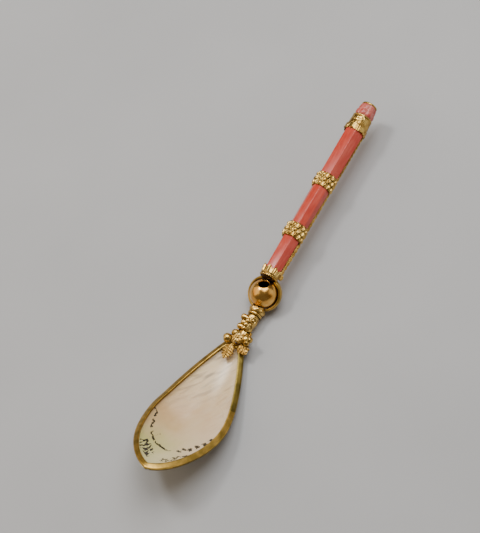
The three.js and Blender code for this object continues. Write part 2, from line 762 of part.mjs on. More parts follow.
function berries(centre) {
  const around = Array.from({ length: 5 }, (_, i) => {
    const angle = (2 * Math.PI * i) / 5;
    const aside = new THREE.Vector3(Math.cos(angle), Math.sin(angle), 0).multiplyScalar(BERRY_RADIUS);
    return ball(BERRY_RADIUS, aside, SMALL_SIDES);
  });
  const top = ball(BERRY_RADIUS, new THREE.Vector3(0, 0, BERRY_RADIUS), SMALL_SIDES);
  return join(top, ...around).translate(centre.x, centre.y, centre.z);
}

const blossomCentre = new THREE.Vector3(HEEL_X, -0.1, HEEL_Z + 3.15);
const leftBudCentre = new THREE.Vector3(HEEL_X - 0.7, 3.9, HEEL_Z + 2.8);
const topBudCentre = new THREE.Vector3(HEEL_X + 2.9, 2.0, HEEL_Z + 2.9);
const berryCentre = new THREE.Vector3(HEEL_X + 1.6, -3.7, HEEL_Z + 2.9);
const leftLeafBase = new THREE.Vector3(HEEL_X - 1.5, 1.2, HEEL_Z + 0.2);
const rightLeafBase = new THREE.Vector3(HEEL_X - 0.7, -1.9, HEEL_Z + 0.3);

place("neck_capital", capital(), gold());
place("scroll_knop", knop(), gold());
place("knop_beads", knopCrest(), gold());
place("heel_bracket", heelBracket(), gold());
place("leaf_left", leaf(leftLeafBase, -2, LEFT_LEAF_LENGTH, LEFT_LEAF_HALF_WIDTH), gold());
place("leaf_right", leaf(rightLeafBase, 59, RIGHT_LEAF_LENGTH, RIGHT_LEAF_HALF_WIDTH), gold());
place("blossom", ribbedBud(blossomCentre, BLOSSOM_RADIUS, 7), gold());
place("bud_left", ribbedBud(leftBudCentre, LEFT_BUD_RADIUS, 6), gold());
place("bud_top", ribbedBud(topBudCentre, TOP_BUD_RADIUS, 5), gold());
place("berry_bunch", berries(berryCentre), gold());

// The stems start beside the end of the knop and run under the bunch or bud that they carry.
const under = (centre, drop) => centre.clone().add(new THREE.Vector3(0, 0, -drop - STEM_RADIUS - CLEARANCE));
const stemStart = (side) => new THREE.Vector3(knopEnd + 0.4, side * 2.5, NECK_HEIGHT - 0.7);
const berryStem = [
  stemStart(-1),
  new THREE.Vector3(knopEnd - 1.6, -2.9, NECK_HEIGHT - 0.5),
  under(berryCentre, BERRY_RADIUS),
];
const budDrop = (radius) => 0.75 * radius;
const budStem = [
  stemStart(1),
  under(topBudCentre, budDrop(TOP_BUD_RADIUS)),
  under(leftBudCentre, budDrop(LEFT_BUD_RADIUS)),
];
place("berry_stem", stem(berryStem, STEM_RADIUS), gold());
place("bud_stem", stem(budStem, STEM_RADIUS), gold());

// The whole spoon stands on Z = 0 with the origin under the middle of its bounds.
const bounds = new THREE.Box3().setFromObject(spoon, true);
const middle = bounds.getCenter(new THREE.Vector3());
spoon.position.set(-middle.x, -middle.y, -bounds.min.z);

const root = new THREE.Group();
root.name = "whistle_spoon";
root.add(spoon);

export default root;
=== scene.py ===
# %% [markdown]
# A whistle-spoon in gilt metal, coral and mother-of-pearl.
# The solids of the spoon are already packed as a frame. This lesson dresses them: each cell models
# one piece by hand with Blender's own operators, in metres, at the place that the frame gives it.

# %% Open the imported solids
import math
from contextlib import contextmanager

import bmesh
import bpy
from mathutils import Matrix, Vector, noise
from mathutils.geometry import interpolate_bezier


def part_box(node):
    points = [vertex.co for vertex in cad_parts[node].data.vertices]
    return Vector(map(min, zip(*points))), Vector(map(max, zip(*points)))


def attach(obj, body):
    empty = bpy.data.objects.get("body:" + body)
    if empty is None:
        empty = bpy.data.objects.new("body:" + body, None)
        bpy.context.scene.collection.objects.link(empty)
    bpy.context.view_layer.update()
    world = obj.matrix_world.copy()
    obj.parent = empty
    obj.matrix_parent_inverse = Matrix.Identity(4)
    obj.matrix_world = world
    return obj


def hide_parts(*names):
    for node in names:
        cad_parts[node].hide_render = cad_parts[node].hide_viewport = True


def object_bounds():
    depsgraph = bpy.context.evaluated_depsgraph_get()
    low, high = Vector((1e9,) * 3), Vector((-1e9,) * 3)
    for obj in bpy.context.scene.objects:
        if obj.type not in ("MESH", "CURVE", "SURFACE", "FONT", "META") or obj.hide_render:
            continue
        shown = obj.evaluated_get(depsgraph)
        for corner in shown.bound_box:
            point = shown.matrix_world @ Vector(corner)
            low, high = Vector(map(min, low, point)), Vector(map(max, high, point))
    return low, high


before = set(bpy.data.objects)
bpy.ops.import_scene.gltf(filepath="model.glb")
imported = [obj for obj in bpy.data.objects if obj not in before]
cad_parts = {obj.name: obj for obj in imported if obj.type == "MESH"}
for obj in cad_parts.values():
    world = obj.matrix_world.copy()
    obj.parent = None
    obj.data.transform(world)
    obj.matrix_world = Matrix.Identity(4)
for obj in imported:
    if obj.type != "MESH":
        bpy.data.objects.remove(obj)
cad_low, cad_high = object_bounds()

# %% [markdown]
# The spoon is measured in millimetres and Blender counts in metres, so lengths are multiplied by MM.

MM = 0.001

# %% [markdown]
# Operators act on whatever is selected, so every step starts from an empty selection. These helpers
# start a piece from a primitive, open it for editing, and pick the points or faces that an operator
# is meant for by where they are, as a modeller would pick them with the mouse.

# %% Selecting and editing
def clear_selection():
    if bpy.context.mode != "OBJECT":
        bpy.ops.object.mode_set(mode="OBJECT")
    bpy.ops.object.select_all(action="DESELECT")


def choose(*pieces):
    clear_selection()
    for piece in pieces:
        piece.select_set(True)
    bpy.context.view_layer.objects.active = pieces[0]


def start(name, primitive, **settings):
    clear_selection()
    primitive(**settings)
    piece = bpy.context.object
    piece.name = name
    return piece


def start_ball(name, radius, segments, rings):
    """Starts a ball with a radius in mm."""
    ball = bpy.ops.mesh.primitive_uv_sphere_add
    return start(name, ball, segments=segments, ring_count=rings, radius=radius * MM)


def start_grid(name, columns, rows):
    """Starts a flat grid of size 1."""
    return start(name, bpy.ops.mesh.primitive_grid_add, x_subdivisions=columns, y_subdivisions=rows, size=1)


@contextmanager
def editing(piece, kind="FACE"):
    choose(piece)
    bpy.ops.object.mode_set(mode="EDIT")
    bpy.ops.mesh.select_mode(type=kind)
    bpy.ops.mesh.select_all(action="DESELECT")
    yield
    bpy.ops.object.mode_set(mode="OBJECT")


def lines_of(piece, axis, count):
    """The numbers of the points of a grid of size 1, line by line along an axis (0 for X, 1 for Y)."""
    lines = {}
    for point in piece.data.vertices:
        lines.setdefault(round((point.co[axis] + 0.5) * count), []).append(point.index)
    return lines.items()


def pick_numbered(piece, numbers):
    """Selects these points and no others."""
    bpy.ops.mesh.select_all(action="DESELECT")
    shape = bmesh.from_edit_mesh(piece.data)
    shape.verts.ensure_lookup_table()
    for number in numbers:
        shape.verts[number].select_set(True)
    bmesh.update_edit_mesh(piece.data)


def pick_faces(piece, where):
    """Selects the faces for which where(middle, normal) is true."""
    shape = bmesh.from_edit_mesh(piece.data)
    for face in shape.faces:
        face.select_set(bool(where(face.calc_center_median(), face.normal)))
    bmesh.update_edit_mesh(piece.data)


def settle(piece, place=None, turn=None):
    """Puts a piece where it belongs and writes that place into its mesh."""
    choose(piece)
    if turn:
        piece.rotation_euler = turn
    if place is not None:
        piece.location = place
    bpy.ops.object.transform_apply(location=True, rotation=True, scale=True)


def modify(piece, kind, **settings):
    choose(piece)
    modifier = piece.modifiers.new(kind.title(), kind)
    for name, value in settings.items():
        setattr(modifier, name, value)
    bpy.ops.object.modifier_apply(modifier=modifier.name)


def bevel(piece, width, segments=2, angle=35):
    limit = math.radians(angle)
    modify(piece, "BEVEL", width=width, segments=segments, limit_method="ANGLE", angle_limit=limit)


def face_outwards(piece):
    with editing(piece):
        bpy.ops.mesh.select_all(action="SELECT")
        bpy.ops.mesh.remove_doubles(threshold=0.005 * MM)
        bpy.ops.mesh.normals_make_consistent(inside=False)


def copy_of(piece, name="copy"):
    twin = piece.copy()
    twin.data = piece.data.copy()
    twin.name = name
    bpy.context.collection.objects.link(twin)
    return twin


def joined(name, pieces):
    choose(*pieces)
    bpy.ops.object.join()
    pieces[0].name = name
    return pieces[0]


def discard(piece):
    bpy.data.objects.remove(piece, do_unlink=True)


# %% [markdown]
# Colours are written as they are picked on a screen and turned to linear light in one place.
# Materials are made of a few nodes each, and one helper adds any kind of node.

# %% Colours and nodes
def linear(code):
    def channel(pair):
        value = int(pair, 16) / 255
        return value / 12.92 if value <= 0.04045 else ((value + 0.055) / 1.055) ** 2.4
    return (*(channel(code[i : i + 2]) for i in (1, 3, 5)), 1.0)


def add(material, kind, settings=None, **inputs):
    """Adds a node. An input goes by its name, or by its number as in i0, and is a value or an output."""
    node = material.node_tree.nodes.new("ShaderNode" + kind)
    for name, value in (settings or {}).items():
        setattr(node, name, value)
    for name, value in inputs.items():
        numbered = name[0] == "i" and name[1:].isdigit()
        socket = node.inputs[int(name[1:]) if numbered else name.replace("_", " ")]
        if isinstance(value, bpy.types.NodeSocket):
            material.node_tree.links.new(value, socket)
        else:
            socket.default_value = value
    return node


def blank(name):
    material = bpy.data.materials.new(name)
    material.use_nodes = True
    material.node_tree.nodes.clear()
    return material


def finish_material(material, shader):
    add(material, "OutputMaterial", Surface=shader.outputs["BSDF"])
    return material


def ramp(material, factor, stops, interpolation="LINEAR"):
    node = add(material, "ValToRGB", Fac=factor)
    node.color_ramp.interpolation = interpolation
    elements = node.color_ramp.elements
    while len(elements) < len(stops):
        elements.new(0.5)
    for element, (position, colour) in zip(elements, stops):
        element.position = position
        element.color = linear(colour) if isinstance(colour, str) else (colour, colour, colour, 1)
    return node.outputs["Color"]


# %% [markdown]
# All the metal is gilt, and its finish tells how it was worked and handled. Burnished gold is rubbed
# with a smooth stone until it mirrors the room. Chased gold is punched and cut: bright on the high
# places, and dull brown in the hollows, which polish and fingers never reach and where shade falls. So
# every finish mixes a bright and a deep gold in patches, and an ambient occlusion node darkens the
# hollows with a third colour: partly tarnish, partly painted shade.

# %% Gold
def gilding(name, bright, deep, hollow_shade_and_tarnish, roughness, grain_mm, cavity_mm, relief):
    """Gold in patches of two tones, with a third in hollows up to a width in mm, and a fine grain. The third
    is set by ambient occlusion and is tarnish and painted shade together.
    """
    material = blank(name)
    place = add(material, "TexCoord").outputs["Object"]
    grain = add(material, "TexNoise", Vector=place, Scale=1 / (grain_mm * MM), Detail=4.0, Roughness=0.6)
    wide = add(material, "TexNoise", Vector=place, Scale=1 / (3.0 * MM), Detail=2.0)
    tone = ramp(material, wide.outputs["Fac"], [(0.35, deep), (0.65, bright)])
    # Painted shade: the ambient occlusion node darkens the colour in hollows, on top of their tarnish
    hollow = add(material, "AmbientOcclusion", {"samples": 8}, Distance=cavity_mm * MM)
    shade = ramp(material, hollow.outputs["AO"], [(0.45, 0.0), (0.88, 1.0)])
    colour = add(material, "Mix", {"data_type": "RGBA"}, i0=shade, i6=linear(hollow_shade_and_tarnish), i7=tone)
    rough = add(material, "MapRange", Value=shade, i3=min(0.6, roughness + 0.25), i4=roughness)
    bump = add(material, "Bump", Height=grain.outputs["Fac"], Strength=relief, Distance=0.06 * MM)
    shader = add(
        material,
        "BsdfPrincipled",
        Base_Color=colour.outputs[2],
        Metallic=1.0,
        Roughness=rough.outputs["Result"],
        Normal=bump.outputs["Normal"],
    )
    return finish_material(material, shader)


# The ball: softly mirrored lamps, and no grain
gold_burnished = gilding("gold_burnished", "#f0be66", "#dc9c46", "#4a3210", 0.23, 1.2, 0.4, 0.05)
# The strip of the rim: wiped smooth, so it shines in broad bands; the two browner copies below are painted
# shade
gold_rim = gilding("gold_rim", "#d2aa54", "#a0823c", "#4c3c16", 0.34, 0.9, 0.7, 0.25)
# Painted shade: a browner gold for the rim's right flank
gold_rim_flank_painted_shade = gilding("gold_rim_flank_painted_shade", "#98823f", "#72622e", "#3a2c10", 0.34, 0.9, 0.7, 0.25)
# Painted shade: a darker gold for the rim's outer side
gold_rim_side_painted_shade = gilding("gold_rim_side_painted_shade", "#8a7236", "#6b5a2c", "#3a2a10", 0.4, 0.6, 0.8, 0.2)
# Chased mounts: small sparks over dark ground, more even and yellow at the neck
gold_chased = gilding("gold_chased", "#e6c06a", "#b48c44", "#2a1a06", 0.26, 0.45, 1.1, 0.3)
gold_neck = gilding("gold_neck", "#eec873", "#c0964a", "#2e1c06", 0.26, 0.6, 0.9, 0.25)
# The blossom is the lightest gold, the leaves and crests are duller, and nobody polishes the inside
gold_bright = gilding("gold_bright", "#f6d488", "#d0a452", "#3a260a", 0.3, 0.6, 0.6, 0.2)
gold_dull = gilding("gold_dull", "#d4aa58", "#a8803e", "#32200c", 0.32, 0.4, 0.8, 0.3)
gold_tarnished = gilding("gold_tarnished", "#5a4120", "#3c2a12", "#140c04", 0.5, 0.5, 0.8, 0.3)

# %% [markdown]
# Coral is a limestone that grew as a branch. Sawn, filed into facets and polished, it is an even
# orange red with faint paler lines that run along the branch, a few hair cracks, and a soft depth,
# because light goes a little way in before it comes out. The mouthpiece is carved and worn paler.

# %% Coral
def coral(name, stops, streak_mm, fleck, roughness):
    material = blank(name)
    place = add(material, "TexCoord").outputs["Object"]
    lengthwise = add(material, "Mapping", Vector=place, Scale=(0.12, 1.0, 1.0))
    streaks = add(
        material,
        "TexNoise",
        Vector=lengthwise.outputs["Vector"],
        Scale=1 / (streak_mm * MM),
        Detail=5.0,
        Roughness=0.6,
    ).outputs["Fac"]
    clouds = add(material, "TexNoise", Vector=place, Scale=1 / (5.0 * MM), Detail=3.0).outputs["Fac"]
    both = add(material, "Math", {"operation": "MULTIPLY_ADD"}, i0=clouds, i1=0.55, i2=streaks)
    tone = ramp(material, both.outputs["Value"], stops)
    cracks = add(
        material,
        "TexVoronoi",
        {"feature": "DISTANCE_TO_EDGE"},
        Vector=add(material, "Mapping", Vector=place, Scale=(0.35, 1.0, 1.0)).outputs["Vector"],
        Scale=1 / (2.6 * MM),
    )
    line = ramp(material, cracks.outputs["Distance"], [(0.0, 1.0), (0.025, 0.0)])
    sparse = add(material, "TexNoise", Vector=place, Scale=1 / (4.0 * MM))
    some = ramp(material, sparse.outputs["Fac"], [(0.5, 0.0), (0.62, 0.3)])
    amount = add(material, "Math", {"operation": "MULTIPLY"}, i0=line, i1=some).outputs["Value"]
    colour = add(material, "Mix", {"data_type": "RGBA"}, i0=amount, i6=tone, i7=linear(fleck))
    bump = add(material, "Bump", Height=streaks, Strength=0.12, Distance=0.08 * MM)
    shader = add(
        material,
        "BsdfPrincipled",
        Base_Color=colour.outputs[2],
        Roughness=roughness,
        IOR=1.56,
        Subsurface_Weight=0.12,
        Subsurface_Radius=(1.0, 0.3, 0.2),
        Subsurface_Scale=0.6 * MM,
        Coat_Weight=0.12,
        Coat_Roughness=0.15,
        Normal=bump.outputs["Normal"],
    )
    return finish_material(material, shader)


# Polished facets: even orange red with a soft shine
FACET_TONES = [(0.45, "#b02c18"), (0.72, "#c23a25"), (1.0, "#cf5540")]
coral_faceted = coral("coral_faceted", FACET_TONES, 0.9, "#d98672", 0.32)
# Carved and worn by lips: broad pale patches
MOUTHPIECE_TONES = [(0.5, "#a5281b"), (0.74, "#bb463a"), (0.98, "#d98478")]
coral_mouthpiece = coral("coral_mouthpiece", MOUTHPIECE_TONES, 2.5, "#f0c8bc", 0.35)

# %% [markdown]
# A finished piece is shaded smooth across its round parts and sharp at its edges, gets its material,
# and stands in for the imported solids that it replaces, which are hidden.


def hand_over(piece, material, *nodes, angle=35):
    choose(piece)
    bpy.ops.object.shade_smooth_by_angle(angle=math.radians(angle))
    piece.data.materials.clear()
    piece.data.materials.append(material)
    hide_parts(*nodes)
    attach(piece, "root")
    print(piece.name, len(piece.data.polygons), "faces")


# %% [markdown]
# Some pieces are finished in two ways. Their second material goes on the faces that are picked for it.

# %% A second finish on the same piece
def finish_faces(piece, material, where):
    piece.data.materials.append(material)
    with editing(piece):
        pick_faces(piece, where)
        piece.active_material_index = len(piece.data.materials) - 1
        bpy.ops.object.material_slot_assign()


# %% [markdown]
# Most of this spoon is turned or chased work. Turning draws one ring of points out along an axis and
# resizes it at each step, as the tool of a lathe follows a profile. Chasing raises and sinks the skin
# of a finished form: every point gets a weight from 0 to 1, and a modifier moves it that share of a
# height. A cutter is a solid that is taken away from another.

# %% Turning, chasing and cutting
def turned(name, profile, sides=48, first_corner=0.0):
    """Turns a piece about Z from a profile of (station, radius) in mm. A profile that ends where it
    starts makes a ring. The first corner stands so many degrees from straight up."""
    ring = profile[0] == profile[-1]
    (station, radius), *steps = profile
    piece = start(
        name,
        bpy.ops.mesh.primitive_circle_add,
        vertices=sides,
        radius=radius * MM,
        fill_type="NOTHING" if ring else "NGON",
    )
    settle(piece, place=(0, 0, station * MM), turn=(0, 0, math.radians(90 + first_corner)))
    with editing(piece, "VERT"):
        bpy.ops.mesh.select_all(action="SELECT")
        for next_station, next_radius in steps:
            rise = (0, 0, (next_station - station) * MM)
            bpy.ops.mesh.extrude_region_move(TRANSFORM_OT_translate={"value": rise})
            growth = next_radius / radius
            bpy.ops.transform.resize(value=(growth, growth, 1), center_override=(0, 0, next_station * MM))
            station, radius = next_station, next_radius
    face_outwards(piece)
    return piece


def chase(piece, height, weight, direction="NORMAL"):
    """Moves each point by its share of a height in mm. The weight of a point is a rule's value, 0 to 1."""
    group = piece.vertex_groups.new(name="chased")
    for point in piece.data.vertices:
        group.add([point.index], min(1.0, max(0.0, weight(point.co / MM))), "REPLACE")
    modify(piece, "DISPLACE", strength=height * MM, mid_level=0.0, vertex_group="chased", direction=direction)
    piece.vertex_groups.clear()


def cut_away(piece, cutter):
    modify(piece, "BOOLEAN", operation="DIFFERENCE", object=cutter, solver="EXACT")
    discard(cutter)
    face_outwards(piece)


# %% [markdown]
# Every place on the spoon is measured in millimetres from the centre of its ball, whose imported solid
# gives that centre. Turned pieces stand on one of two axes: that of the handle, above the ball's
# middle, and that of the neck, below it. Angles round an axis count from straight up.

# %% Places
ball_low, ball_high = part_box("ball_chamber")
ball_centre = (ball_low + ball_high) / 2
ball_radius = (ball_high.y - ball_low.y) / 2 / MM
HANDLE_HEIGHT, NECK_HEIGHT = 4.6, -3.0


def spot(x, y, z):
    return ball_centre + Vector((x, y, z)) * MM


def on_axis(piece, height):
    """Lays a piece turned about Z along X, at a height over the ball's centre."""
    settle(piece, place=spot(0, 0, height), turn=(0, math.pi / 2, 0))
    return piece


def bearing(point):
    """The angle of a point of turned work, in degrees from straight up."""
    return math.degrees(math.atan2(-point.y, -point.x)) % 360


def dome(distance, reach):
    """1 in the middle and 0 from a reach on, round like a punched boss."""
    return math.sqrt(max(0.0, 1 - (distance / reach) ** 2))


print("ball centre", [round(value / MM, 2) for value in ball_centre], "radius", round(ball_radius, 2))

# %% [markdown]
# The bowl is laid out on its chord, the straight line from the heel to the tip. In plan it is a drop,
# drawn by two curves that meet at the widest place. The rim then sags below the chord like a slack
# line, and the shell is dished below the rim.

# %% Measures of the bowl
heel = spot(-22.4, 0, -2.8)
chord_tilt = math.radians(18.2)
bowl_length, bowl_widest = 69.5 * MM, 38.7 * MM
bowl_half_width, heel_half_width = 16.55 * MM, 2.4 * MM
rim_sag, dish_depth = 6.8 * MM, 5.0 * MM
shell_thickness, shell_drop, rim_height = 1.3 * MM, 0.8 * MM, 2.9 * MM


def drop_outline():
    """One half of the bowl in plan, from the heel to the tip, as (distance along, half width)."""
    run = bowl_length - bowl_widest
    first = interpolate_bezier(
        Vector((0, heel_half_width)),
        Vector((bowl_widest * 0.2, bowl_half_width * 0.41)),
        Vector((bowl_widest * 0.7, bowl_half_width)),
        Vector((bowl_widest, bowl_half_width)),
        40,
    )
    second = interpolate_bezier(
        Vector((bowl_widest, bowl_half_width)),
        Vector((bowl_widest + run * 0.465, bowl_half_width)),
        Vector((bowl_length - run * 0.095, bowl_half_width * 0.53)),
        Vector((bowl_length, 0)),
        40,
    )
    return first + second[1:]


outline = drop_outline()


def half_width(u):
    for before, after in zip(outline, outline[1:]):
        if u <= after.x:
            share = (u - before.x) / (after.x - before.x)
            return before.y + (after.y - before.y) * max(0.0, share)
    return 0.0


def sag(u):
    share = min(max(u / bowl_length, 0), 1)
    return rim_sag * 4 * share * (1 - share)


def dish(u):
    return dish_depth * (max(half_width(u), 0) / bowl_half_width) ** 1.25


def let_down(piece):
    """Lets a flat piece sag as the rim does."""
    chase(piece, -rim_sag / MM, lambda p: sag(p.x * MM) / rim_sag, direction="Z")


def lean(piece):
    """A shell is never even: this one swells to the left at the heel, and its tip leans to the right."""
    shoulder = lambda p: dome(p.x, 32) ** 3 * min(1.0, max(0.0, 0.5 - p.y / 5))
    chase(piece, -2.6, shoulder, direction="Y")
    chase(piece, 2.0, lambda p: max(0.0, (p.x - 50) / 19.5) ** 2, direction="Y")


def seat_on_chord(piece):
    settle(piece, place=heel, turn=(0, -chord_tilt, math.pi))


# %% [markdown]
# Mother-of-pearl is built of layers thinner than a wave of light. Its colour drifts from a rosy white
# at the heel over beige to a greenish cream at the tip, and growth ripples slant across it, which the
# polished skin turns into short glints. The shell keeps dark natural marks at the tip end: a broken
# line that ends in four dots, and speckles nearer the rim. They are laid out round one point, as a
# distance for every angle, and a noise makes them crooked. The ripples are drawn about three times
# as wide as in shell, because real ones are too fine to show in a picture of the whole spoon.

# %% Mother-of-pearl
MARKS_CENTRE = (38, -2)  # mm along the chord and across it
# The line and the specks as distances in mm by angle in degrees, and their strokes as first and last
# angle and half width in mm
LINE = {-90: 12.6, -83: 12.2, -80: 11.2, -68: 11.7, -58: 11.6, -43: 12.9, -32: 13.6, -19: 14.7, -13: 15.1}
LINE |= {-4: 15.2, 7: 15.7, 12: 15.7, 24: 14.9, 28: 15.7, 32: 13.7, 38: 14.7, 43: 15.1, 54: 14.5}
LINE |= {66: 15.2, 77: 15.7}
LINE_STROKES = [(-86, -67, 0.42), (-60, -42, 0.42), (-35, -17, 0.45), (-15, 8, 0.42), (8, 13, 0.2)]
LINE_STROKES += [(23, 29, 0.5), (30, 38, 0.7), (40, 45.5, 1.2), (52, 57.5, 1.2), (63, 68.5, 1.25)]
LINE_STROKES += [(74, 80, 1.25)]
SPECKS = {-27: 11.4, -24.3: 11.4, -23.5: 19.2, -10: 20.4, -1: 22.6, 14: 22.6, 18: 22.5, 21: 21.5}
SPECKS |= {27: 19.9, 34: 19.3}
SPECK_STROKES = [(-27, -24.5, 0.8), (-23.5, -1, 2.6), (11, 15.5, 1.3), (16.5, 19.5, 1.2), (20, 24, 1.4)]
SPECK_STROKES += [(25, 30, 1.2), (31, 37, 0.9)]


def mother_of_pearl():
    material = blank("mother_of_pearl")
    place = add(material, "TexCoord").outputs["Object"]
    lie = Matrix.Rotation(math.pi, 3, "Z") @ Matrix.Rotation(-chord_tilt, 3, "Y")
    centre = heel + lie @ Vector((*MARKS_CENTRE, 0)) * MM
    chord = add(
        material,
        "Mapping",
        {"vector_type": "TEXTURE"},
        Vector=place,
        Location=centre,
        Rotation=(0, -chord_tilt, math.pi),
        Scale=(MM, MM, MM),
    ).outputs["Vector"]
    flat = add(material, "SeparateXYZ", Vector=chord)

    def sum_up(operation, *values, clamp=False):
        inputs = {f"i{number}": value for number, value in enumerate(values)}
        return add(material, "Math", {"operation": operation, "use_clamp": clamp}, **inputs).outputs["Value"]

    def noise_of(size_mm, detail=3.0, vector=chord):
        return add(material, "TexNoise", Vector=vector, Scale=1 / size_mm, Detail=detail).outputs["Fac"]

    clouds = noise_of(14.0)
    drift = sum_up("MULTIPLY_ADD", clouds, 24.0, flat.outputs["X"])
    zone = add(material, "MapRange", Value=drift, i1=-24.0, i2=42.0).outputs["Result"]
    stops = [(0.0, "#efd8ae"), (0.22, "#e0c188"), (0.5, "#cfa872"), (0.63, "#d4b988")]
    tone = ramp(material, zone, [*stops, (0.8, "#c8c27a"), (1.0, "#d6d294")])
    rosy = sum_up("MULTIPLY_ADD", flat.outputs["Y"], 0.04, sum_up("MULTIPLY", noise_of(6.0), 0.4), clamp=True)
    base = add(material, "Mix", {"data_type": "RGBA"}, i0=rosy, i6=tone, i7=linear("#ead4b6")).outputs[2]

    angle = sum_up("ARCTAN2", flat.outputs["Y"], flat.outputs["X"])
    crooked = sum_up("MULTIPLY_ADD", noise_of(0.9, 4.0), 0.16, sum_up("SUBTRACT", angle, 0.08))
    turn = add(material, "MapRange", Value=crooked, i1=-math.pi / 2, i2=math.pi / 2).outputs["Result"]
    across = add(material, "CombineXYZ", X=flat.outputs["X"], Y=flat.outputs["Y"]).outputs["Vector"]
    length = add(material, "VectorMath", {"operation": "LENGTH"}, i0=across).outputs["Value"]
    distance = sum_up("MULTIPLY_ADD", noise_of(1.1, 4.0), 2.2, sum_up("SUBTRACT", length, 1.1))

    def marks(path, strokes):
        """1 within a stroke's half width of the path, at the angles of that stroke, and 0 elsewhere."""
        at = lambda degrees: 0.5 + degrees / 180
        middle = ramp(material, turn, [(at(degrees), radius / 30) for degrees, radius in path.items()])
        ends = [(0.0, 0.0)]
        for first, last, half in strokes:
            ends += [(at(first), half / 5), (at(last), 0.0)]
        half_width = ramp(material, turn, ends, "CONSTANT")
        off = sum_up("ABSOLUTE", sum_up("SUBTRACT", distance, sum_up("MULTIPLY", middle, 30.0)))
        within = sum_up("SUBTRACT", sum_up("MULTIPLY", half_width, 5.0), off)
        return sum_up("MULTIPLY_ADD", within, 4.0, 0.3, clamp=True)

    lengthwise = add(material, "Mapping", {"vector_type": "TEXTURE"}, Vector=chord, Scale=(2.0, 0.8, 2.0))
    specks = ramp(material, noise_of(1.0, 1.0, lengthwise.outputs["Vector"]), [(0.5, 1.0), (0.54, 0.0)])
    near_rim = sum_up("MULTIPLY", marks(SPECKS, SPECK_STROKES), specks)
    dark = sum_up("MAXIMUM", marks(LINE, LINE_STROKES), near_rim)
    colour = add(material, "Mix", {"data_type": "RGBA"}, i0=dark, i6=base, i7=linear("#241f12")).outputs[2]

    slanting = add(
        material,
        "Mapping",
        {"vector_type": "TEXTURE"},
        Vector=chord,
        Rotation=(0, 0, math.radians(-33)),
        Scale=(9.0, 3.0, 9.0),
    ).outputs["Vector"]
    ripple = noise_of(1.0, 1.0, slanting)
    fading = add(material, "MapRange", Value=drift, i1=-8.0, i2=12.0, i3=1.0, i4=0.2).outputs["Result"]
    bump = add(material, "Bump", Height=ripple, Strength=fading, Distance=4.0 * MM)
    shader = add(
        material,
        "BsdfPrincipled",
        Base_Color=colour,
        Roughness=0.45,
        Specular_IOR_Level=0.2,
        IOR=1.53,
        Subsurface_Weight=0.08,
        Subsurface_Radius=(1.0, 0.8, 0.7),
        Subsurface_Scale=0.6 * MM,
        Coat_Weight=0.8,
        Coat_Roughness=0.27,
        Coat_IOR=1.6,
        Normal=bump.outputs["Normal"],
    )
    return finish_material(material, shader)


pearl = mother_of_pearl()

# %% [markdown]
# The pearl bowl starts as a flat grid. Its long rows are lowered first, most in the middle, so that
# every cross row has the curve of the dish. Then each cross row is stretched to the bowl's width and
# depth at its station and let down by the sag. A wall is added below at the end.

# %% The mother-of-pearl bowl
STATIONS, ROWS = 56, 20


def pearl_bowl():
    piece = start_grid("pearl_bowl", STATIONS, ROWS)
    rows, columns = lines_of(piece, 1, ROWS), lines_of(piece, 0, STATIONS)
    inset = shell_drop
    reach = bowl_length - 2.1 * inset
    with editing(piece, "VERT"):
        for row, numbers in rows:
            share = 2 * row / ROWS - 1
            pick_numbered(piece, numbers)
            bpy.ops.transform.translate(value=(0, 0, share * share - 1))
        for column, numbers in columns:
            share = column / STATIONS
            u = inset + reach * (share - 0.06 * math.sin(2 * math.pi * share))
            slope = (half_width(u + 0.0002) - half_width(u - 0.0002)) / 0.0004
            width = max(0.02 * MM, half_width(u) - inset * math.sqrt(1 + slope * slope))
            pick_numbered(piece, numbers)
            here = column / STATIONS - 0.5
            bpy.ops.transform.resize(value=(1, 2 * width, dish(u)), center_override=(here, 0, 0))
            bpy.ops.transform.translate(value=(u - here, 0, -shell_drop))
    lean(piece)
    let_down(piece)
    modify(piece, "SOLIDIFY", thickness=shell_thickness, offset=-1, use_even_offset=True)
    seat_on_chord(piece)
    return piece


hand_over(pearl_bowl(), pearl, "shell_bowl", angle=60)

# %% [markdown]
# The rim is a strip of gold folded into a channel that grips the edge of the shell, with a mitre at the
# tip. Its cross section is laid into the rows of a grid. Every column of the grid is then carried to
# its place along the outline, turned to look inward, and stretched where the channel turns a corner.
# A mirror gives the other half. The right flank, which turns from the lamps, is painted a browner gold
# than the rest as painted shade, and so is the outer side all round.

# %% The gold rim
RIM_SECTION = [  # distance in from the outline and height in mm, once round the metal
    (0.3, -2.9), (-0.2, -2.3), (-0.35, -1.5), (-0.3, -1.15), (-0.1, -0.9), (0.4, -0.62), (1.0, -0.3),
    (1.5, -0.02), (1.72, 0.06), (1.9, 0.03), (2.0, -0.1), (2.04, -0.4), (2.08, -0.85), (1.9, -1.0),
    (0.9, -0.95), (0.6, -1.1), (0.6, -2.2), (1.4, -2.5), (1.3, -2.95), (0.3, -2.9),
]
RIM_STATIONS = 90
FIRST_STEP, LAST_STEP = 0.028, 0.022  # longer steps at the corners, so that the inner rows don't cross


def place_along(share):
    """Where one is, as (distance along, half width), after a share of the way round the outline."""
    left = share * sum((after - before).length for before, after in zip(outline, outline[1:]))
    for before, after in zip(outline, outline[1:]):
        step = (after - before).length
        if left <= step:
            return before.lerp(after, left / step)
        left -= step
    return outline[-1]


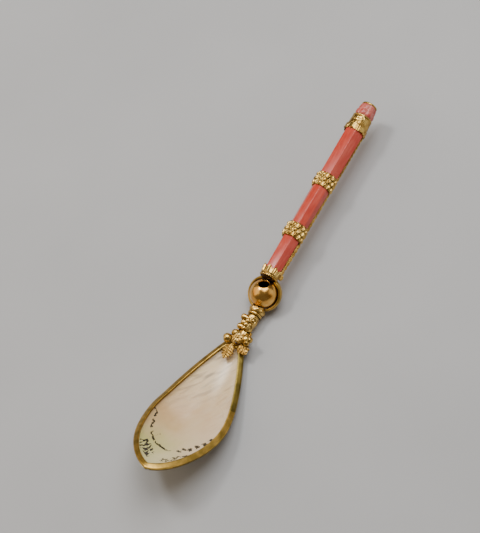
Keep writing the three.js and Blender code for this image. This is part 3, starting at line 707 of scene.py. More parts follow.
def rim_places():
    """For every station of half the rim: its place, the turn of its section and its stretch."""
    steps = RIM_STATIONS - 3
    shares = [FIRST_STEP + (1 - FIRST_STEP - LAST_STEP) * step / steps for step in range(steps + 1)]
    path = [Vector((0, 0)), Vector((0, heel_half_width)), *map(place_along, shares), outline[-1]]
    path = [Vector((0, -heel_half_width)), *path, Vector((path[-2].x, -path[-2].y))]
    places = []
    for before, here, after in zip(path, path[1:], path[2:]):
        arriving = (here - before).normalized()
        onward = (arriving + (after - here).normalized()).normalized()
        inward = Vector((onward.y, -onward.x))
        places.append((here, math.atan2(inward.y, inward.x) - math.pi / 2, 1 / onward.dot(arriving)))
    return places


def gold_rim_channel():
    rows = len(RIM_SECTION) - 1
    piece = start_grid("rim_channel", RIM_STATIONS, rows)
    levels, columns = lines_of(piece, 1, rows), lines_of(piece, 0, RIM_STATIONS)
    places = rim_places()
    with editing(piece, "VERT"):
        for row, numbers in levels:
            inset, height = RIM_SECTION[row]
            pick_numbered(piece, numbers)
            bpy.ops.transform.translate(value=(0, inset * MM - (row / rows - 0.5), height * MM))
        for column, numbers in columns:
            here, turn, stretch = places[column]
            key = column / RIM_STATIONS - 0.5
            pick_numbered(piece, numbers)
            bpy.ops.transform.resize(value=(1, stretch, 1), center_override=(key, 0, 0))
            bpy.ops.transform.rotate(value=-turn, orient_axis="Z", center_override=(key, 0, 0))
            bpy.ops.transform.translate(value=(here.x - key, here.y, 0))
    modify(piece, "MIRROR", use_axis=(False, True, False), merge_threshold=0.01 * MM)
    lean(piece)
    let_down(piece)
    face_outwards(piece)
    seat_on_chord(piece)
    return piece


SHADED_FLANK_END = -51 * MM  # in X, on the right flank
rim_channel = gold_rim_channel()
hand_over(rim_channel, gold_rim, "bowl_rim")
# The right flank gets a browner gold as painted shade
on_flank = lambda middle, normal: middle.y < -2 * MM and middle.x > SHADED_FLANK_END
finish_faces(rim_channel, gold_rim_flank_painted_shade, on_flank)
# Faces that look sideways or down get a darker gold, painted shade on the outer side
finish_faces(rim_channel, gold_rim_side_painted_shade, lambda middle, normal: normal.z < 0.3)

# %% [markdown]
# The ball is the whistle's chamber, raised in two cups of sheet gold and soldered. The round hole in
# its upper side faces the slit of the nozzle, and breath that crosses the edge sounds the note. A
# sphere is cut flat above the edge of the hole, given the wall of the sheet, and tilted into place.

# %% The whistle ball
HOLE_RADIUS, BALL_WALL = 2.45, 0.7
HOLE_TILT = 69  # degrees from level up to the hole's middle


def whistle_ball():
    piece = start_ball("whistle_ball", ball_radius, 96, 64)
    edge = math.sqrt(ball_radius**2 - HOLE_RADIUS**2) * MM
    with editing(piece):
        bpy.ops.mesh.select_all(action="SELECT")
        bpy.ops.mesh.bisect(plane_co=(0, 0, edge), plane_no=(0, 0, 1), clear_outer=True)
    modify(piece, "SOLIDIFY", thickness=BALL_WALL * MM, offset=-1)
    bevel(piece, 0.1 * MM, segments=3, angle=50)
    settle(piece, place=ball_centre, turn=(0, math.radians(90 - HOLE_TILT), 0))
    return piece


ball = whistle_ball()
hand_over(ball, gold_burnished, "ball_chamber")
finish_faces(ball, gold_tarnished, lambda middle, normal: normal.dot(middle - ball_centre) < 0)

# %% [markdown]
# Two straps carry the ball between the handle and the neck, each a strip bent round it a hair off its
# skin. A strip that lies on a sphere is a piece of a flat ring, so each is turned as a whole ring
# about an axis of its own and sawn through at both ends, and its edges are rubbed round.

# %% The straps
# Ways from the ball's centre to the left strap's start, middle and end
STRAP_START = Vector((0.87, 0.42, 0.36))
STRAP_MIDDLE = Vector((0, 0.97, -0.22))
STRAP_END = Vector((-0.72, 0.42, -0.55))
STRAP_GAP, STRAP_THICKNESS, STRAP_CROWN, STRAP_HALF_WIDTH = 0.3, 0.9, 0.3, 1.4


def strap_section(latitude):
    inner = ball_radius + STRAP_GAP
    reach = STRAP_HALF_WIDTH / inner
    shares = [step / 6 - 1 for step in range(13)]
    outside = [(inner + STRAP_THICKNESS + STRAP_CROWN * (1 - share**2), share) for share in shares]
    inside = [(inner, share) for share in reversed(shares)]
    polar = [(radius, latitude + reach * share) for radius, share in outside + inside + outside[:1]]
    return [(radius * math.sin(angle), radius * math.cos(angle)) for radius, angle in polar]


def ball_strap(name, side):
    ways = (STRAP_START, STRAP_MIDDLE, STRAP_END)
    first, middle, last = (Vector((way.x, way.y * side, way.z)).normalized() for way in ways)
    axis = (middle - first).cross(last - first).normalized()
    piece = turned(name + "_strip", strap_section(math.asin(axis.dot(first))), sides=144)
    settle(piece, turn=axis.to_track_quat("Z", "Y").to_euler())
    for end in (first, last):
        beyond = axis.cross(end)
        beyond *= -1 if beyond.dot(middle) > 0 else 1
        with editing(piece):
            bpy.ops.mesh.select_all(action="SELECT")
            bpy.ops.mesh.bisect(plane_co=(0, 0, 0), plane_no=beyond, clear_outer=True, use_fill=True)
    bevel(piece, 0.15 * MM, segments=2, angle=50)
    settle(piece, place=ball_centre)
    return piece


hand_over(ball_strap("ball_strap_left", 1), gold_rim, "ball_strap_left")
hand_over(ball_strap("ball_strap_right", -1), gold_rim, "ball_strap_right")

# %% [markdown]
# The nozzle closes the handle towards the ball. It is a turned plug with a slit sawn through it near
# the bottom of the bore, hollowed to the ball. Nobody polishes its face, so it is left dark.

# %% The nozzle
def nozzle():
    piece = on_axis(turned("nozzle_plug", [(4.6, 2.4), (5.1, 3.1), (6.6, 3.2)], sides=64), HANDLE_HEIGHT)
    room = start_ball("room", ball_radius + 0.3, 48, 24)
    settle(room, place=ball_centre)
    cut_away(piece, room)
    slit = start("slit", bpy.ops.mesh.primitive_cube_add, size=1, scale=Vector((6, 3.4, 0.8)) * MM)
    settle(slit, place=spot(5, 0, HANDLE_HEIGHT - 1.1))
    cut_away(piece, slit)
    return piece


hand_over(nozzle(), gold_tarnished, "nozzle")

# %% [markdown]
# The collar holds the lowest coral in a crown of nine leaves over a corded lip. It is a turned sleeve
# with many fine rings. Chasing outwards curls the tips, raises a rib on every leaf and sinks notches
# beside it, chasing along the axis pulls the top down between the leaves, and the last cuts the cord.

# %% The collar
TUBE_SEAT = 2.05  # radius of the bore of all that slides over the air tube
CROWN_FOOT, CROWN_TIP = 6.3, 9.15
CROWN_LEAVES, FIRST_LEAF = 9, -4  # how many, and bearing of the first
HEXAGON_TURN = 24  # bearing of the first corner of a six-sided coral


def from_leaf(point, leaves, first):
    """How far a point is from the nearest leaf's middle, 0 on it and 1 between two leaves."""
    turn = (bearing(point) - first) * leaves / 360
    return abs(turn - round(turn)) * 2


def collar():
    levels = [CROWN_FOOT + (CROWN_TIP - CROWN_FOOT) * step / 12 for step in range(13)]
    outside = [(5.0, 3.45), (5.1, 3.7), (5.35, 3.9), (5.65, 3.9), (5.9, 3.7), (6.05, 3.6)]
    outside += [(level, 3.85 + 0.1 * (level - CROWN_FOOT) / (CROWN_TIP - CROWN_FOOT)) for level in levels]
    inside = [(CROWN_TIP, 3.75), (8.3, 3.65), (8.3, 3.3), (5.0, 3.3), (5.0, 3.45)]
    piece = turned("leafy_collar", outside + inside, sides=144)
    up = lambda p: (p.z - CROWN_FOOT) / (CROWN_TIP - CROWN_FOOT) if p.xy.length > 3.6 else 0
    away = lambda p: from_leaf(p, CROWN_LEAVES, FIRST_LEAF)
    chase(piece, 0.35, lambda p: up(p) * (1 - away(p)) ** 0.7)
    chase(piece, 0.22, lambda p: (p.z > CROWN_FOOT - 0.1) * dome(away(p), 0.16) * dome(1 - up(p), 1.1))
    notch = lambda p: dome(abs(away(p) - 0.42), 0.12) * (0.4 + 0.6 * math.sin(p.z * 7) ** 2)
    chase(piece, -0.35, lambda p: (p.z > CROWN_FOOT + 0.1) * notch(p))
    chase(piece, -1.2, lambda p: up(p) * away(p) ** 1.4, direction="Z")
    chase(piece, -0.3, lambda p: (5.15 < p.z < 5.95) * math.sin(math.radians(bearing(p) * 15) + p.z * 3) ** 2)
    return on_axis(piece, HANDLE_HEIGHT)


hand_over(collar(), gold_neck, "collar", angle=50)

# %% [markdown]
# The coral lengths are bars bored from end to end. The lowest and the highest are filed to six sides
# with a corner towards the viewer, the middle one to eight. Polishing takes the sharpness off the
# corners, and a narrow bevel there catches the lamp as a fine line.

# %% The coral bars
BARS = {  # first and last station, corner radius at both, sides, bearing of the first corner
    "coral_lower": (8.4, 24.3, 3.6, 3.85, 6, HEXAGON_TURN),
    "coral_middle": (30.4, 49.3, 3.55, 3.8, 8, 11.7),
    "coral_upper": (55.4, 79.9, 4.2, 4.4, 6, HEXAGON_TURN),
}


def coral_bar(name, first, last, radius, end_radius, sides, corner):
    inside = TUBE_SEAT / math.cos(math.pi / sides)
    middle = (first + last) / 2
    waist = (radius + end_radius) / 2
    profile = [
        (first, inside),
        (first, radius - 0.15),
        (first + 0.15, radius),
        (middle, waist),
        (last - 0.15, end_radius),
        (last, end_radius - 0.15),
        (last, inside),
        (first, inside),
    ]
    piece = turned(name + "_bar", profile, sides=sides, first_corner=corner)
    bevel(piece, 0.16 * MM, segments=3, angle=30)
    return on_axis(piece, HANDLE_HEIGHT)


for name, measures in BARS.items():
    hand_over(coral_bar(name, *measures), coral_faceted, name, angle=20)

# %% [markdown]
# A scalloped crest runs along both lower sides of each bar. One scallop is a small disc with rounded
# rims and a sunk eye on each face. It is copied along a rail and made lower towards the mouth end.

# %% The crests
CREST_THICKNESS, SCALLOP_PITCH, RAIL_HEIGHT = 0.95, 2.1, 0.42
CREST_BEARING = 120  # degrees from straight up, to either side
CREST_RISES = {7: 1.35, 24: 1.35, 45: 0.95, 78: 0.6}  # how far a crest stands out, by station
STRIPS = {  # first and last station, and the share of the corner radius at which the foot stands
    "crest_lower": ("coral_lower", 6.9, 24.2, 0.871, 0.871),
    "crest_middle": ("coral_middle", 30.5, 49.2, 0.926, 0.978),
    "crest_upper": ("coral_upper", 55.5, 77.6, 0.871, 0.871),
}


def between(table, station):
    keys = sorted(table)
    for low, high in zip(keys, keys[1:]):
        if station <= high:
            share = max(0.0, (station - low) / (high - low))
            return table[low] + (table[high] - table[low]) * share
    return table[keys[-1]]


def scallop():
    disc = bpy.ops.mesh.primitive_cylinder_add
    piece = start("scallop", disc, vertices=24, radius=0.5 * MM, depth=CREST_THICKNESS * MM)
    settle(piece, turn=(math.pi / 2, 0, 0))
    bevel(piece, 0.12 * MM, segments=2, angle=50)
    with editing(piece):
        pick_faces(piece, lambda middle, normal: abs(normal.y) > 0.99)
        bpy.ops.mesh.inset(thickness=0.12 * MM, use_individual=True)
        bpy.ops.mesh.inset(thickness=0.05 * MM, depth=-0.14 * MM, use_individual=True)
    return piece


def crest_strip(name, bar, first, last, foot_share, side):
    bar_start, bar_end, radius, end_radius = BARS[bar][:4]
    widening = (end_radius - radius) / (bar_end - bar_start)
    foot = lambda x: foot_share * (radius + widening * (x - bar_start))
    standing = lambda x: 3.95 if x < CROWN_TIP + 0.5 else foot(x) + 0.02
    count = round((last - first) / SCALLOP_PITCH)
    pitch = (last - first) / count
    pattern = scallop()
    row = []
    for number in range(count):
        x = first + (number + 0.5) * pitch
        rise = between(CREST_RISES, x)
        disc = copy_of(pattern)
        disc.scale = (1.06 * pitch, 1, rise + 0.15)
        settle(disc, place=Vector((x, 0, standing(x) + rise / 2)) * MM)
        rail_size = Vector((pitch, 0.7 * CREST_THICKNESS, RAIL_HEIGHT)) * MM
        rail = start("rail", bpy.ops.mesh.primitive_cube_add, size=1, scale=rail_size)
        settle(rail, place=Vector((x, 0, standing(x) + RAIL_HEIGHT / 2)) * MM)
        bevel(rail, 0.06 * MM, segments=1)
        row += [disc, rail]
    discard(pattern)
    piece = joined(name + "_strip", row)
    settle(piece, place=spot(0, 0, HANDLE_HEIGHT), turn=(math.radians(side * CREST_BEARING), 0, 0))
    return piece


for name, (bar, first, last, right_share, left_share) in STRIPS.items():
    for word, side, share in (("left", -1, left_share), ("right", 1, right_share)):
        strip = crest_strip(f"{name}_{word}", bar, first, last, share, side)
        hand_over(strip, gold_dull, f"{name}_{word}")

# %% [markdown]
# The two bands cover the joints of the bars. Each is pierced sheet: strands cross in diamonds, a bead
# sits on every crossing, and the ground between them is sunk so deep that it looks black.

# %% The bands
BAND_LENGTH, BAND_GROUND = 6.0, 3.95  # along the handle, and radius of the ground
BAND_REPEATS = 12
EDGE_ROW = 0.17  # share of the length at which the outer rows of beads sit


def band_weight(first):
    pitch = 360 / BAND_REPEATS

    def weight(point):
        if point.xy.length < BAND_GROUND - 0.2:
            return 0
        around = bearing(point) / pitch
        share = (point.z - first) / BAND_LENGTH
        slope = 0.5 / (0.5 - EDGE_ROW)
        leans = [around + sign * slope * (share - 0.5) + 0.5 for sign in (1, -1)]
        strand = max(dome(abs(lean - round(lean)), 0.17) for lean in leans)
        beads = []
        for row, shift, size in ((EDGE_ROW, 0, 0.72), (1 - EDGE_ROW, 0, 0.72), (0.5, 0.5, 0.85)):
            sideways = (around - shift - round(around - shift)) * math.radians(pitch) * 4.3
            beads.append(dome(math.hypot(sideways, (share - row) * BAND_LENGTH), size))
        worn = 0.12 * noise.noise(point * 1.3)
        return 0.62 * strand * (1 - abs(share - 0.5) * 0.5) + 0.45 * max(beads) + worn

    return weight


def band(name, first):
    last = first + BAND_LENGTH
    levels = [first + 0.1 + (BAND_LENGTH - 0.2) * step / 30 for step in range(31)]
    outside = [(level, BAND_GROUND) for level in levels]
    outside = [(first, BAND_GROUND - 0.1), *outside, (last, BAND_GROUND - 0.1)]
    profile = [(first, TUBE_SEAT), *outside, (last, TUBE_SEAT), (first, TUBE_SEAT)]
    piece = turned(name + "_sheet", profile, sides=216)
    chase(piece, 0.9, band_weight(first))
    return on_axis(piece, HANDLE_HEIGHT)


hand_over(band("band_lower", 24.35), gold_chased, "band_lower", angle=60)
hand_over(band("band_upper", 49.35), gold_chased, "band_upper", angle=60)

# %% [markdown]
# The ferrule takes the bar's six sides over to the round mouthpiece. It starts as a round sleeve whose
# skin is pressed flat along each side, deepest in the middle. Leaf scrolls are then raised by ridges
# of a wandering pattern, and the edge over the coral is drawn out into small scallops.

# %% The ferrule
FERRULE = (77.9, 85.5)


def ferrule():
    first, last = FERRULE
    wall = lambda z: 4.7 - 0.75 * max(0.0, (z - first - 1.5) / (last - first - 1.5))
    levels = [first + (last - 0.9 - first) * step / 30 for step in range(31)]
    outside = [(level, wall(level)) for level in levels]
    end_bead = ((0.7, 0.25), (0.4, 0.35), (0.1, 0.2), (0, 0))
    outside += [(last - back, wall(last) + out) for back, out in end_bead]
    inside = [(last, TUBE_SEAT), (first + 2.3, TUBE_SEAT), (first + 2.3, 4.5), (first, 4.5)]
    piece = turned("chased_ferrule", outside + inside + outside[:1], sides=192)
    off_corner = lambda p: math.radians(from_leaf(p, 6, HEXAGON_TURN + 30) * 30)
    flat = lambda p: (1 - math.cos(math.pi / 6) / math.cos(off_corner(p))) / 0.134
    fade = lambda p: max(0.0, 1 - (p.z - first) / (last - first - 0.6))
    chase(piece, -0.6, lambda p: flat(p) * fade(p))
    scroll = lambda p: 1 - abs(noise.noise(Vector((p.x, p.y, p.z * 0.8)) * 0.95)) * 3.2
    curl = lambda p: 1 - abs(noise.noise(p * 1.7 + Vector((7, 3, 1)))) * 3.5
    skin = lambda p: p.xy.length > 3.6 and p.z < last - 0.9
    chase(piece, 0.22, lambda p: skin(p) * max(scroll(p), 0.7 * curl(p)))
    scallops = lambda p: abs(math.sin(math.radians(bearing(p) * 9)))
    chase(piece, -0.5, lambda p: dome(p.z - first, 1.2) * (p.z < first + 1.2) * scallops(p), "Z")
    return on_axis(piece, HANDLE_HEIGHT)


hand_over(ferrule(), gold_chased, "ferrule", angle=60)

# %% [markdown]
# The mouthpiece is one more piece of coral, carved all over with small petals that the lips have worn
# soft, and a thin gold ring guards its end.

# %% The mouthpiece
MOUTHPIECE, MOUTH_RING = (85.65, 90.9), (91.0, 91.9)


def mouthpiece():
    first, last = MOUTHPIECE
    shares = [step / 24 for step in range(25)]
    swell = lambda share: 3.45 + 0.3 * math.sin(math.pi * min(1, share * 1.4)) - 0.25 * share
    outside = [(first + (last - first) * share, swell(share)) for share in shares]
    profile = [(first, TUBE_SEAT), *outside, (last, TUBE_SEAT), (first, TUBE_SEAT)]
    piece = turned("carved_mouthpiece", profile, sides=144)
    petal = lambda p: dome(math.hypot(from_leaf(p, 7, 0), ((p.z - first) % 2.6 - 1.3) / 1.3), 1.0)
    vein = lambda p: 0.5 * (1 - abs(noise.noise(p * 1.4)) * 3)
    chase(piece, 0.5, lambda p: (p.xy.length > 2.5) * max(petal(p) * 0.9, vein(p)))
    return on_axis(piece, HANDLE_HEIGHT)


def mouth_ring():
    first, last = MOUTH_RING
    profile = [(first, 1.5), (first, 3.15), (first + 0.2, 3.38), (last - 0.3, 3.38), (last, 3.1), (last, 1.7)]
    piece = turned("mouth_ring", [*profile, (last - 0.15, 1.5), (first, 1.5)], sides=96)
    bevel(piece, 0.08 * MM, segments=2, angle=40)
    return on_axis(piece, HANDLE_HEIGHT)


hand_over(mouthpiece(), coral_mouthpiece, "mouthpiece", angle=60)
hand_over(mouth_ring(), gold_rim, "mouth_rim")

# %% [markdown]
# Below the ball the neck begins with a capital: a cushion hollowed to the ball, with a row of low round
# pellets on it, and a rounded moulding behind. Each pellet is a flattened ball sunk into the cushion.

# %% The capital
PELLETS, PELLET_RADIUS, PELLET_HEIGHT = 8, 1.05, 2.6


def capital():
    cushion = [(-9.6, 2.2), (-9.5, 2.7), (-9.25, 3.0), (-8.95, 3.1), (-8.6, 3.0), (-8.35, 2.7), (-8.15, 2.85)]
    cushion += [(-7.9, 3.1), (-7.5, 3.2), (-6.9, 3.15), (-6.3, 3.1), (-5.7, 3.05), (-5.3, 2.9), (-4.9, 2.5)]
    body = on_axis(turned("cushion", cushion, sides=96), NECK_HEIGHT)
    room = start_ball("room", ball_radius + 0.25, 64, 32)
    settle(room, place=ball_centre)
    cut_away(body, room)
    pellets = []
    for number in range(PELLETS):
        pellet = start_ball("pellet", PELLET_RADIUS, 20, 12)
        pellet.scale = (1.0, 1.0, 0.8)
        settle(pellet, place=Vector((-6.9, 0, PELLET_HEIGHT)) * MM)
        settle(pellet, place=spot(0, 0, NECK_HEIGHT), turn=(2 * math.pi * (number + 0.4) / PELLETS, 0, 0))
        pellets.append(pellet)
    return joined("capital_with_pellets", [body, *pellets])


hand_over(capital(), gold_neck, "neck_capital", angle=50)

# %% [markdown]
# The knop is the neck's ornament: a barrel wrapped in slanting leaves with one scroll on top, and three
# rolled leaf ends that stand out at its left as round lobes. A lobe is turned about the roll's own
# axis and ends in a thin stalk inside the barrel. Three beads sit on top, between the rolls.

# %% The knop
# Station, rise over the neck axis, radius and reach to the left
ROLLS = [(-12.0, 2.0, 1.3, 3.9), (-14.0, 1.6, 1.15, 3.0), (-16.1, 1.5, 1.25, 3.6)]
BEADS = [(-13.2, 3.2), (-14.85, 3.0), (-16.5, 2.9)]  # station and height over the neck axis
EYE = (-12.1, 40)  # station and bearing of the scroll on top


def roll(station, rise, radius, reach):
    """A rolled leaf end: a fat round lobe on the left, its stalk thin where it ends in the barrel."""
    lobe = [(0.0, 0.1), (0.06, 0.5), (0.25, 0.8), (0.6, 1.0), (1.1, 1.0), (1.8, 0.92), (2.6, 0.75)]
    profile = [(back - reach, share * radius) for back, share in lobe]
    profile += [(0.0, 0.45 * radius), (0.6, 0.3 * radius)]
    piece = turned("roll", profile, sides=40)
    settle(piece, place=spot(station, 0, NECK_HEIGHT + rise), turn=(math.pi / 2, 0, 0))
    return piece


def knop():
    barrel = [(-17.2, 1.0), (-17.0, 1.6), (-16.6, 1.95), (-16.1, 2.1), (-15.5, 2.2), (-14.9, 2.25)]
    barrel += [(-14.3, 2.3), (-13.7, 2.34), (-13.1, 2.38), (-12.5, 2.45), (-11.9, 2.52), (-11.3, 2.6)]
    barrel += [(-10.7, 2.68), (-10.1, 2.7), (-9.75, 2.4), (-9.6, 1.9)]
    body = turned("barrel", barrel, sides=160)
    modify(body, "SUBSURF", levels=1, render_levels=1, subdivision_type="SIMPLE")
    ridge = lambda p: max(0.0, 1 - abs(math.sin(math.radians(bearing(p) * 2) + p.z * 0.8)) * 1.5)

    def from_eye(p):
        station, middle = EYE
        return math.hypot(math.radians((bearing(p) - middle + 180) % 360 - 180) * 2.6, p.z - station)

    scroll = lambda p: max(dome(from_eye(p), 0.55), dome(abs(from_eye(p) - 1.2), 0.4))
    chase(body, 0.4, lambda p: scroll(p) if from_eye(p) < 1.7 else 0.9 * ridge(p) * dome(p.z + 13.4, 3.8))
    on_axis(body, NECK_HEIGHT)
    return joined("volute_knop", [body, *(roll(*measures) for measures in ROLLS)])


def knop_beads():
    beads = []
    for station, height in BEADS:
        bead = start_ball("bead", 0.95, 24, 14)
        bead.scale = (1.0, 1.0, 0.8)
        settle(bead, place=spot(station, 0, NECK_HEIGHT + height))
        beads.append(bead)
    return joined("row_of_beads", beads)


hand_over(knop(), gold_neck, "scroll_knop", angle=50)
hand_over(knop_beads(), gold_neck, "knop_beads", angle=60)

# %% [markdown]
# A tongue of gold runs from the knop to the heel of the rim and carries the leaves. It is turned as a
# tapering bar, pressed flat, and let down towards the bowl.

# %% The bracket under the leaves
def heel_bracket():
    first, last = -22.2, -17.0
    levels = [first + (last - first) * step / 16 for step in range(17)]
    wide = lambda x: 2.2 + 0.1 * (x - first) / (last - first)
    profile = [(first, 1.6), *((level, wide(level)) for level in levels[1:-1]), (last, 0.9)]
    piece = turned("heel_tongue", profile, sides=40)
    with editing(piece):
        bpy.ops.mesh.select_all(action="SELECT")
        bpy.ops.transform.resize(value=(0.75, 1, 1), center_override=(0, 0, 0))
    on_axis(piece, NECK_HEIGHT - 0.6)
    fall = lambda p: (spot(last, 0, 0).x / MM - p.x) / (last - first)
    chase(piece, -0.6, fall, direction="Z")
    return piece


hand_over(heel_bracket(), gold_chased, "heel_bracket", angle=50)

# %% [markdown]
# The leaves are sheet gold, cut with a toothed edge and bent. A flat grid is taken row by row to the
# leaf's width, wide and narrow in turn for the teeth. Chasing raises the rib and the side veins, bows
# the blade and lets the tip down towards the shell, and a wall gives it the thickness of sheet.

# %% The leaves
LEAF_STEPS, LEAF_ROWS = 60, 20


def leaf(name, base, angle, length, half_width, droop, teeth, cut, fullness):
    """A leaf that points down the bowl from its base, turned by an angle. Teeth cut a share of its width."""
    piece = start_grid(name + "_blade", LEAF_STEPS, LEAF_ROWS)
    columns = lines_of(piece, 0, LEAF_STEPS)
    with editing(piece, "VERT"):
        for column, numbers in columns:
            share = column / LEAF_STEPS
            tooth = (share * teeth) % 1
            blade = math.sin(math.pi * share**fullness) ** 0.8
            width = half_width * blade * (1 - cut + cut * tooth) + 0.05
            pick_numbered(piece, numbers)
            bpy.ops.transform.resize(value=(1, 2 * width * MM, 1), center_override=(0, 0, 0))
            bpy.ops.transform.translate(value=(-length * share * MM - (share - 0.5), 0, 0))
    wave = lambda p: 1 - abs(math.sin(math.pi * (-p.x / length * teeth - abs(p.y) / half_width * 1.2)))
    chase(piece, 0.3, lambda p: dome(p.y, 0.3), direction="Z")
    chase(piece, 0.26, lambda p: wave(p) ** 2 * min(1, abs(p.y)), direction="Z")
    chase(piece, -0.8, lambda p: (p.y / half_width) ** 2, direction="Z")
    chase(piece, -droop, lambda p: (p.x / length) ** 2, direction="Z")
    face_outwards(piece)
    modify(piece, "SOLIDIFY", thickness=0.4 * MM, offset=-1)
    bevel(piece, 0.06 * MM, segments=1, angle=60)
    settle(piece, place=spot(*base), turn=(0, 0, math.radians(angle)))
    return piece


leaf_left = leaf("leaf_left", (-23.6, 1.4, -1.2), -5, 7.3, 2.9, 0.8, teeth=7, cut=0.4, fullness=1.15)
leaf_right = leaf("leaf_right", (-22.7, -1.9, -1.1), 48, 5.2, 2.9, 0.8, teeth=4, cut=0.4, fullness=0.95)
hand_over(leaf_left, gold_dull, "leaf_left", angle=50)
hand_over(leaf_right, gold_dull, "leaf_right", angle=50)

# %% [markdown]
# A blossom and two buds sit over the leaves. A bud is a ball with grooves sunk between its petals from
# pole to pole. The blossom is open: each petal is a ball pressed flat and tilted, and five stand round
# a bead.

# %% The blossom and the buds
PETALS, PETAL_RADIUS, PETAL_REACH = 5, 1.15, 1.75


def bud(name, centre, radius, grooves, height):
    piece = start_ball(name, radius, 64, 32)
    piece.scale = (1, 1, height)
    settle(piece)
    near = lambda p: (1 - abs(math.cos(math.radians(bearing(p) * grooves / 2)))) ** 2
    chase(piece, -0.3 * radius, lambda p: (near(p) * min(1, p.xy.length / radius)) ** 2)
    settle(piece, place=spot(*centre), turn=(0.3, 0.2, 0.6))
    return piece


def blossom(centre):
    petals = []
    for number in range(PETALS):
        petal = start_ball("petal", PETAL_RADIUS, 32, 20)
        petal.scale = (1.15, 1.0, 0.4)
        settle(petal)
        chase(petal, -0.3, lambda p: (p.z > 0) * dome(p.y, 0.3), direction="Z")
        settle(petal, place=(PETAL_REACH * MM, 0, 0), turn=(0, 0.35, 0))
        settle(petal, turn=(0, 0, 2 * math.pi * (number + 0.2) / PETALS))
        petals.append(petal)
    eye = start_ball("eye", 0.85, 20, 12)
    piece = joined("open_blossom", [eye, *petals])
    settle(piece, place=spot(*centre))
    return piece


hand_over(blossom((-21.5, -0.1, 1.1)), gold_bright, "blossom", angle=60)
hand_over(bud("left_bud", (-23.2, 3.84, 0.2), 1.95, 2, 1.0), gold_chased, "bud_left", angle=60)
hand_over(bud("top_bud", (-20.1, 1.8, 0.4), 1.65, 3, 1.0), gold_chased, "bud_top", angle=60)

# %% [markdown]
# The berries are small balls of gold, four in a ring and one on top. One berry is modelled, with a
# dent where its flower sat, and copied. Two stalks of bent wire, each a path with a thickness, run to
# the berries and to the left bud.

# %% The berries and the stems
BERRY_RADIUS = 1.3
BERRY_RINGS = [(1, 0, 0.9), (4, 1.3, -0.2)]  # how many, how far out, how high
BERRIES, LEFT_BUD = (-20.9, -3.66), (-23.0, 3.84)


def berries(name, centre):
    pattern = start_ball("berry", BERRY_RADIUS, 20, 14)
    chase(pattern, -0.15, lambda p: (p.z > 0) * dome(p.xy.length, 0.4))
    bunch = []
    for count, out, height in BERRY_RINGS:
        for number in range(count):
            angle = 2 * math.pi * (number + 0.3) / count
            berry = copy_of(pattern)
            aside = Vector((out * math.cos(angle), out * math.sin(angle), height))
            settle(berry, place=spot(*centre) + aside * MM, turn=(0, 0.5 * out, angle))
            bunch.append(berry)
    discard(pattern)
    return joined(name + "_heap", bunch)


def wire(name, route, radius):
    """Bends a round wire along a path drawn by five points, in mm from the ball's centre."""
    clear_selection()
    bpy.ops.curve.primitive_nurbs_path_add()
    path = bpy.context.object
    path.name = name
    for point, place in zip(path.data.splines[0].points, route):
        point.co = (*spot(*place), 1)
    path.data.bevel_depth = radius * MM
    path.data.bevel_resolution = 3
    path.data.resolution_u = 8
    path.data.use_fill_caps = True
    bpy.ops.object.convert(target="MESH")
    return bpy.context.object


BERRY_ROUTE = [(-16.6, -2.3, -3.6), (-17.6, -2.8, -3.4), (-18.7, -3.2, -2.9), (-19.9, -3.5, -2.1)]
BUD_ROUTE = [(-16.6, 2.4, -3.6), (-18.3, 2.5, -3.0), (-20.0, 2.7, -2.4), (-21.6, 3.3, -1.9)]
STALK_RADIUS = 0.6
hand_over(berries("berry_bunch", (*BERRIES, 0.1)), gold_chased, "berry_bunch", angle=60)
berry_stalk = wire("berry_stalk", [*BERRY_ROUTE, (*BERRIES, -1.0)], STALK_RADIUS)
bud_stalk = wire("bud_stalk", [*BUD_ROUTE, (*LEFT_BUD, -1.4)], STALK_RADIUS)
hand_over(berry_stalk, gold_chased, "berry_stem", angle=60)
hand_over(bud_stalk, gold_chased, "bud_stem", angle=60)

# %% [markdown]
# Only the air tube is left, and nearly all of it is hidden in the bars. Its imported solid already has
# the right shape, so it shows as it is, with the dark gold of a surface that nobody polishes.

# %% The air tube
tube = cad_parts["air_tube"]
tube.data.materials.clear()
tube.data.materials.append(gold_tarnished)
print(tube.name, "shows as packed")

# %% [markdown]
# The photograph looks down on the spoon from the left of its bowl. The camera stands 0.79 m away
# with a long lens, so the handle hardly narrows towards its end.

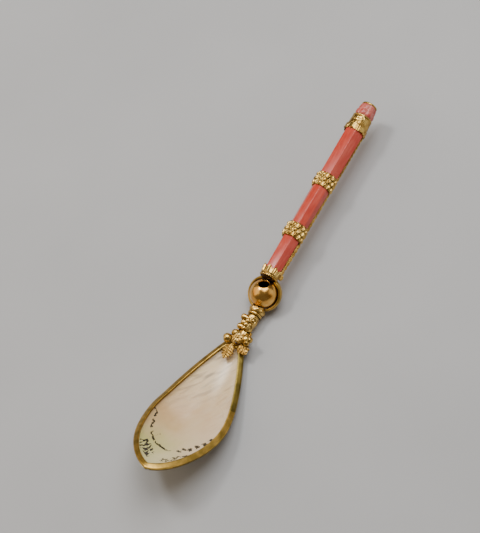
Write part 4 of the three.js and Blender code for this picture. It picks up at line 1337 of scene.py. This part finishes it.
# %% Camera
bpy.ops.object.camera_add(
    location=ball_centre + Vector((-0.23373, -0.29444, 0.69059)),
    rotation=[math.radians(degrees) for degrees in (27.207, 12.062, -59.926)],
)
camera = bpy.context.object
camera.data.sensor_width = 36
camera.data.lens = 132.3
camera.data.clip_start = 0.05
bpy.context.scene.camera = camera

# %% [markdown]
# A pale table and soft lamps. The key stands over the spoon, at the top of the view. A small window
# box at the upper left makes the glare at the heel of the shell, a large warm box lights the left
# sides, and a weak one fills from the right. The room stays a dim grey, so that gold has something
# dark to mirror.

# %% Floor and lights
def floor():
    material = blank("pale_table")
    place = add(material, "TexCoord").outputs["Object"]
    mottle = add(material, "TexNoise", Vector=place, Scale=12.0, Detail=3.0)
    tone = ramp(material, mottle.outputs["Fac"], [(0.3, "#afb0b1"), (0.7, "#b5b6b7")])
    finish_material(material, add(material, "BsdfPrincipled", Base_Color=tone, Roughness=0.85))
    table = start("table", bpy.ops.mesh.primitive_plane_add, size=6)
    table.data.materials.append(material)


floor()
middle = (cad_low + cad_high) / 2
view = camera.matrix_basis.to_3x3()


def softbox(name, rightward, upward, backward, width, height, watts, tint="#ffffff"):
    """Places a lamp by its direction in the camera's view and aims it at the spoon."""
    direction = view @ Vector((rightward, upward, backward))
    bpy.ops.object.light_add(type="AREA", location=middle + direction)
    lamp = bpy.context.object
    lamp.name = name
    lamp.rotation_euler = direction.to_track_quat("Z", "Y").to_euler()
    lamp.data.shape = "RECTANGLE"
    lamp.data.size, lamp.data.size_y = width, height
    lamp.data.energy = watts
    lamp.data.color = linear(tint)[:3]


softbox("key_box", 0.04, 0.68, 0.73, 0.75, 0.75, 9)
softbox("window_box", -0.53, 0.63, 0.57, 0.2, 0.2, 3.6)
softbox("left_box", -0.88, 0.3, 0.32, 1.0, 1.0, 3.5, "#ffe9cc")
softbox("fill_box", 0.9, 0.15, 0.5, 0.7, 0.9, 1.2)

world = bpy.data.worlds.new("room")
bpy.context.scene.world = world
world.use_nodes = True
world.node_tree.nodes["Background"].inputs["Color"].default_value = linear("#998c80")
world.node_tree.nodes["Background"].inputs["Strength"].default_value = 0.45
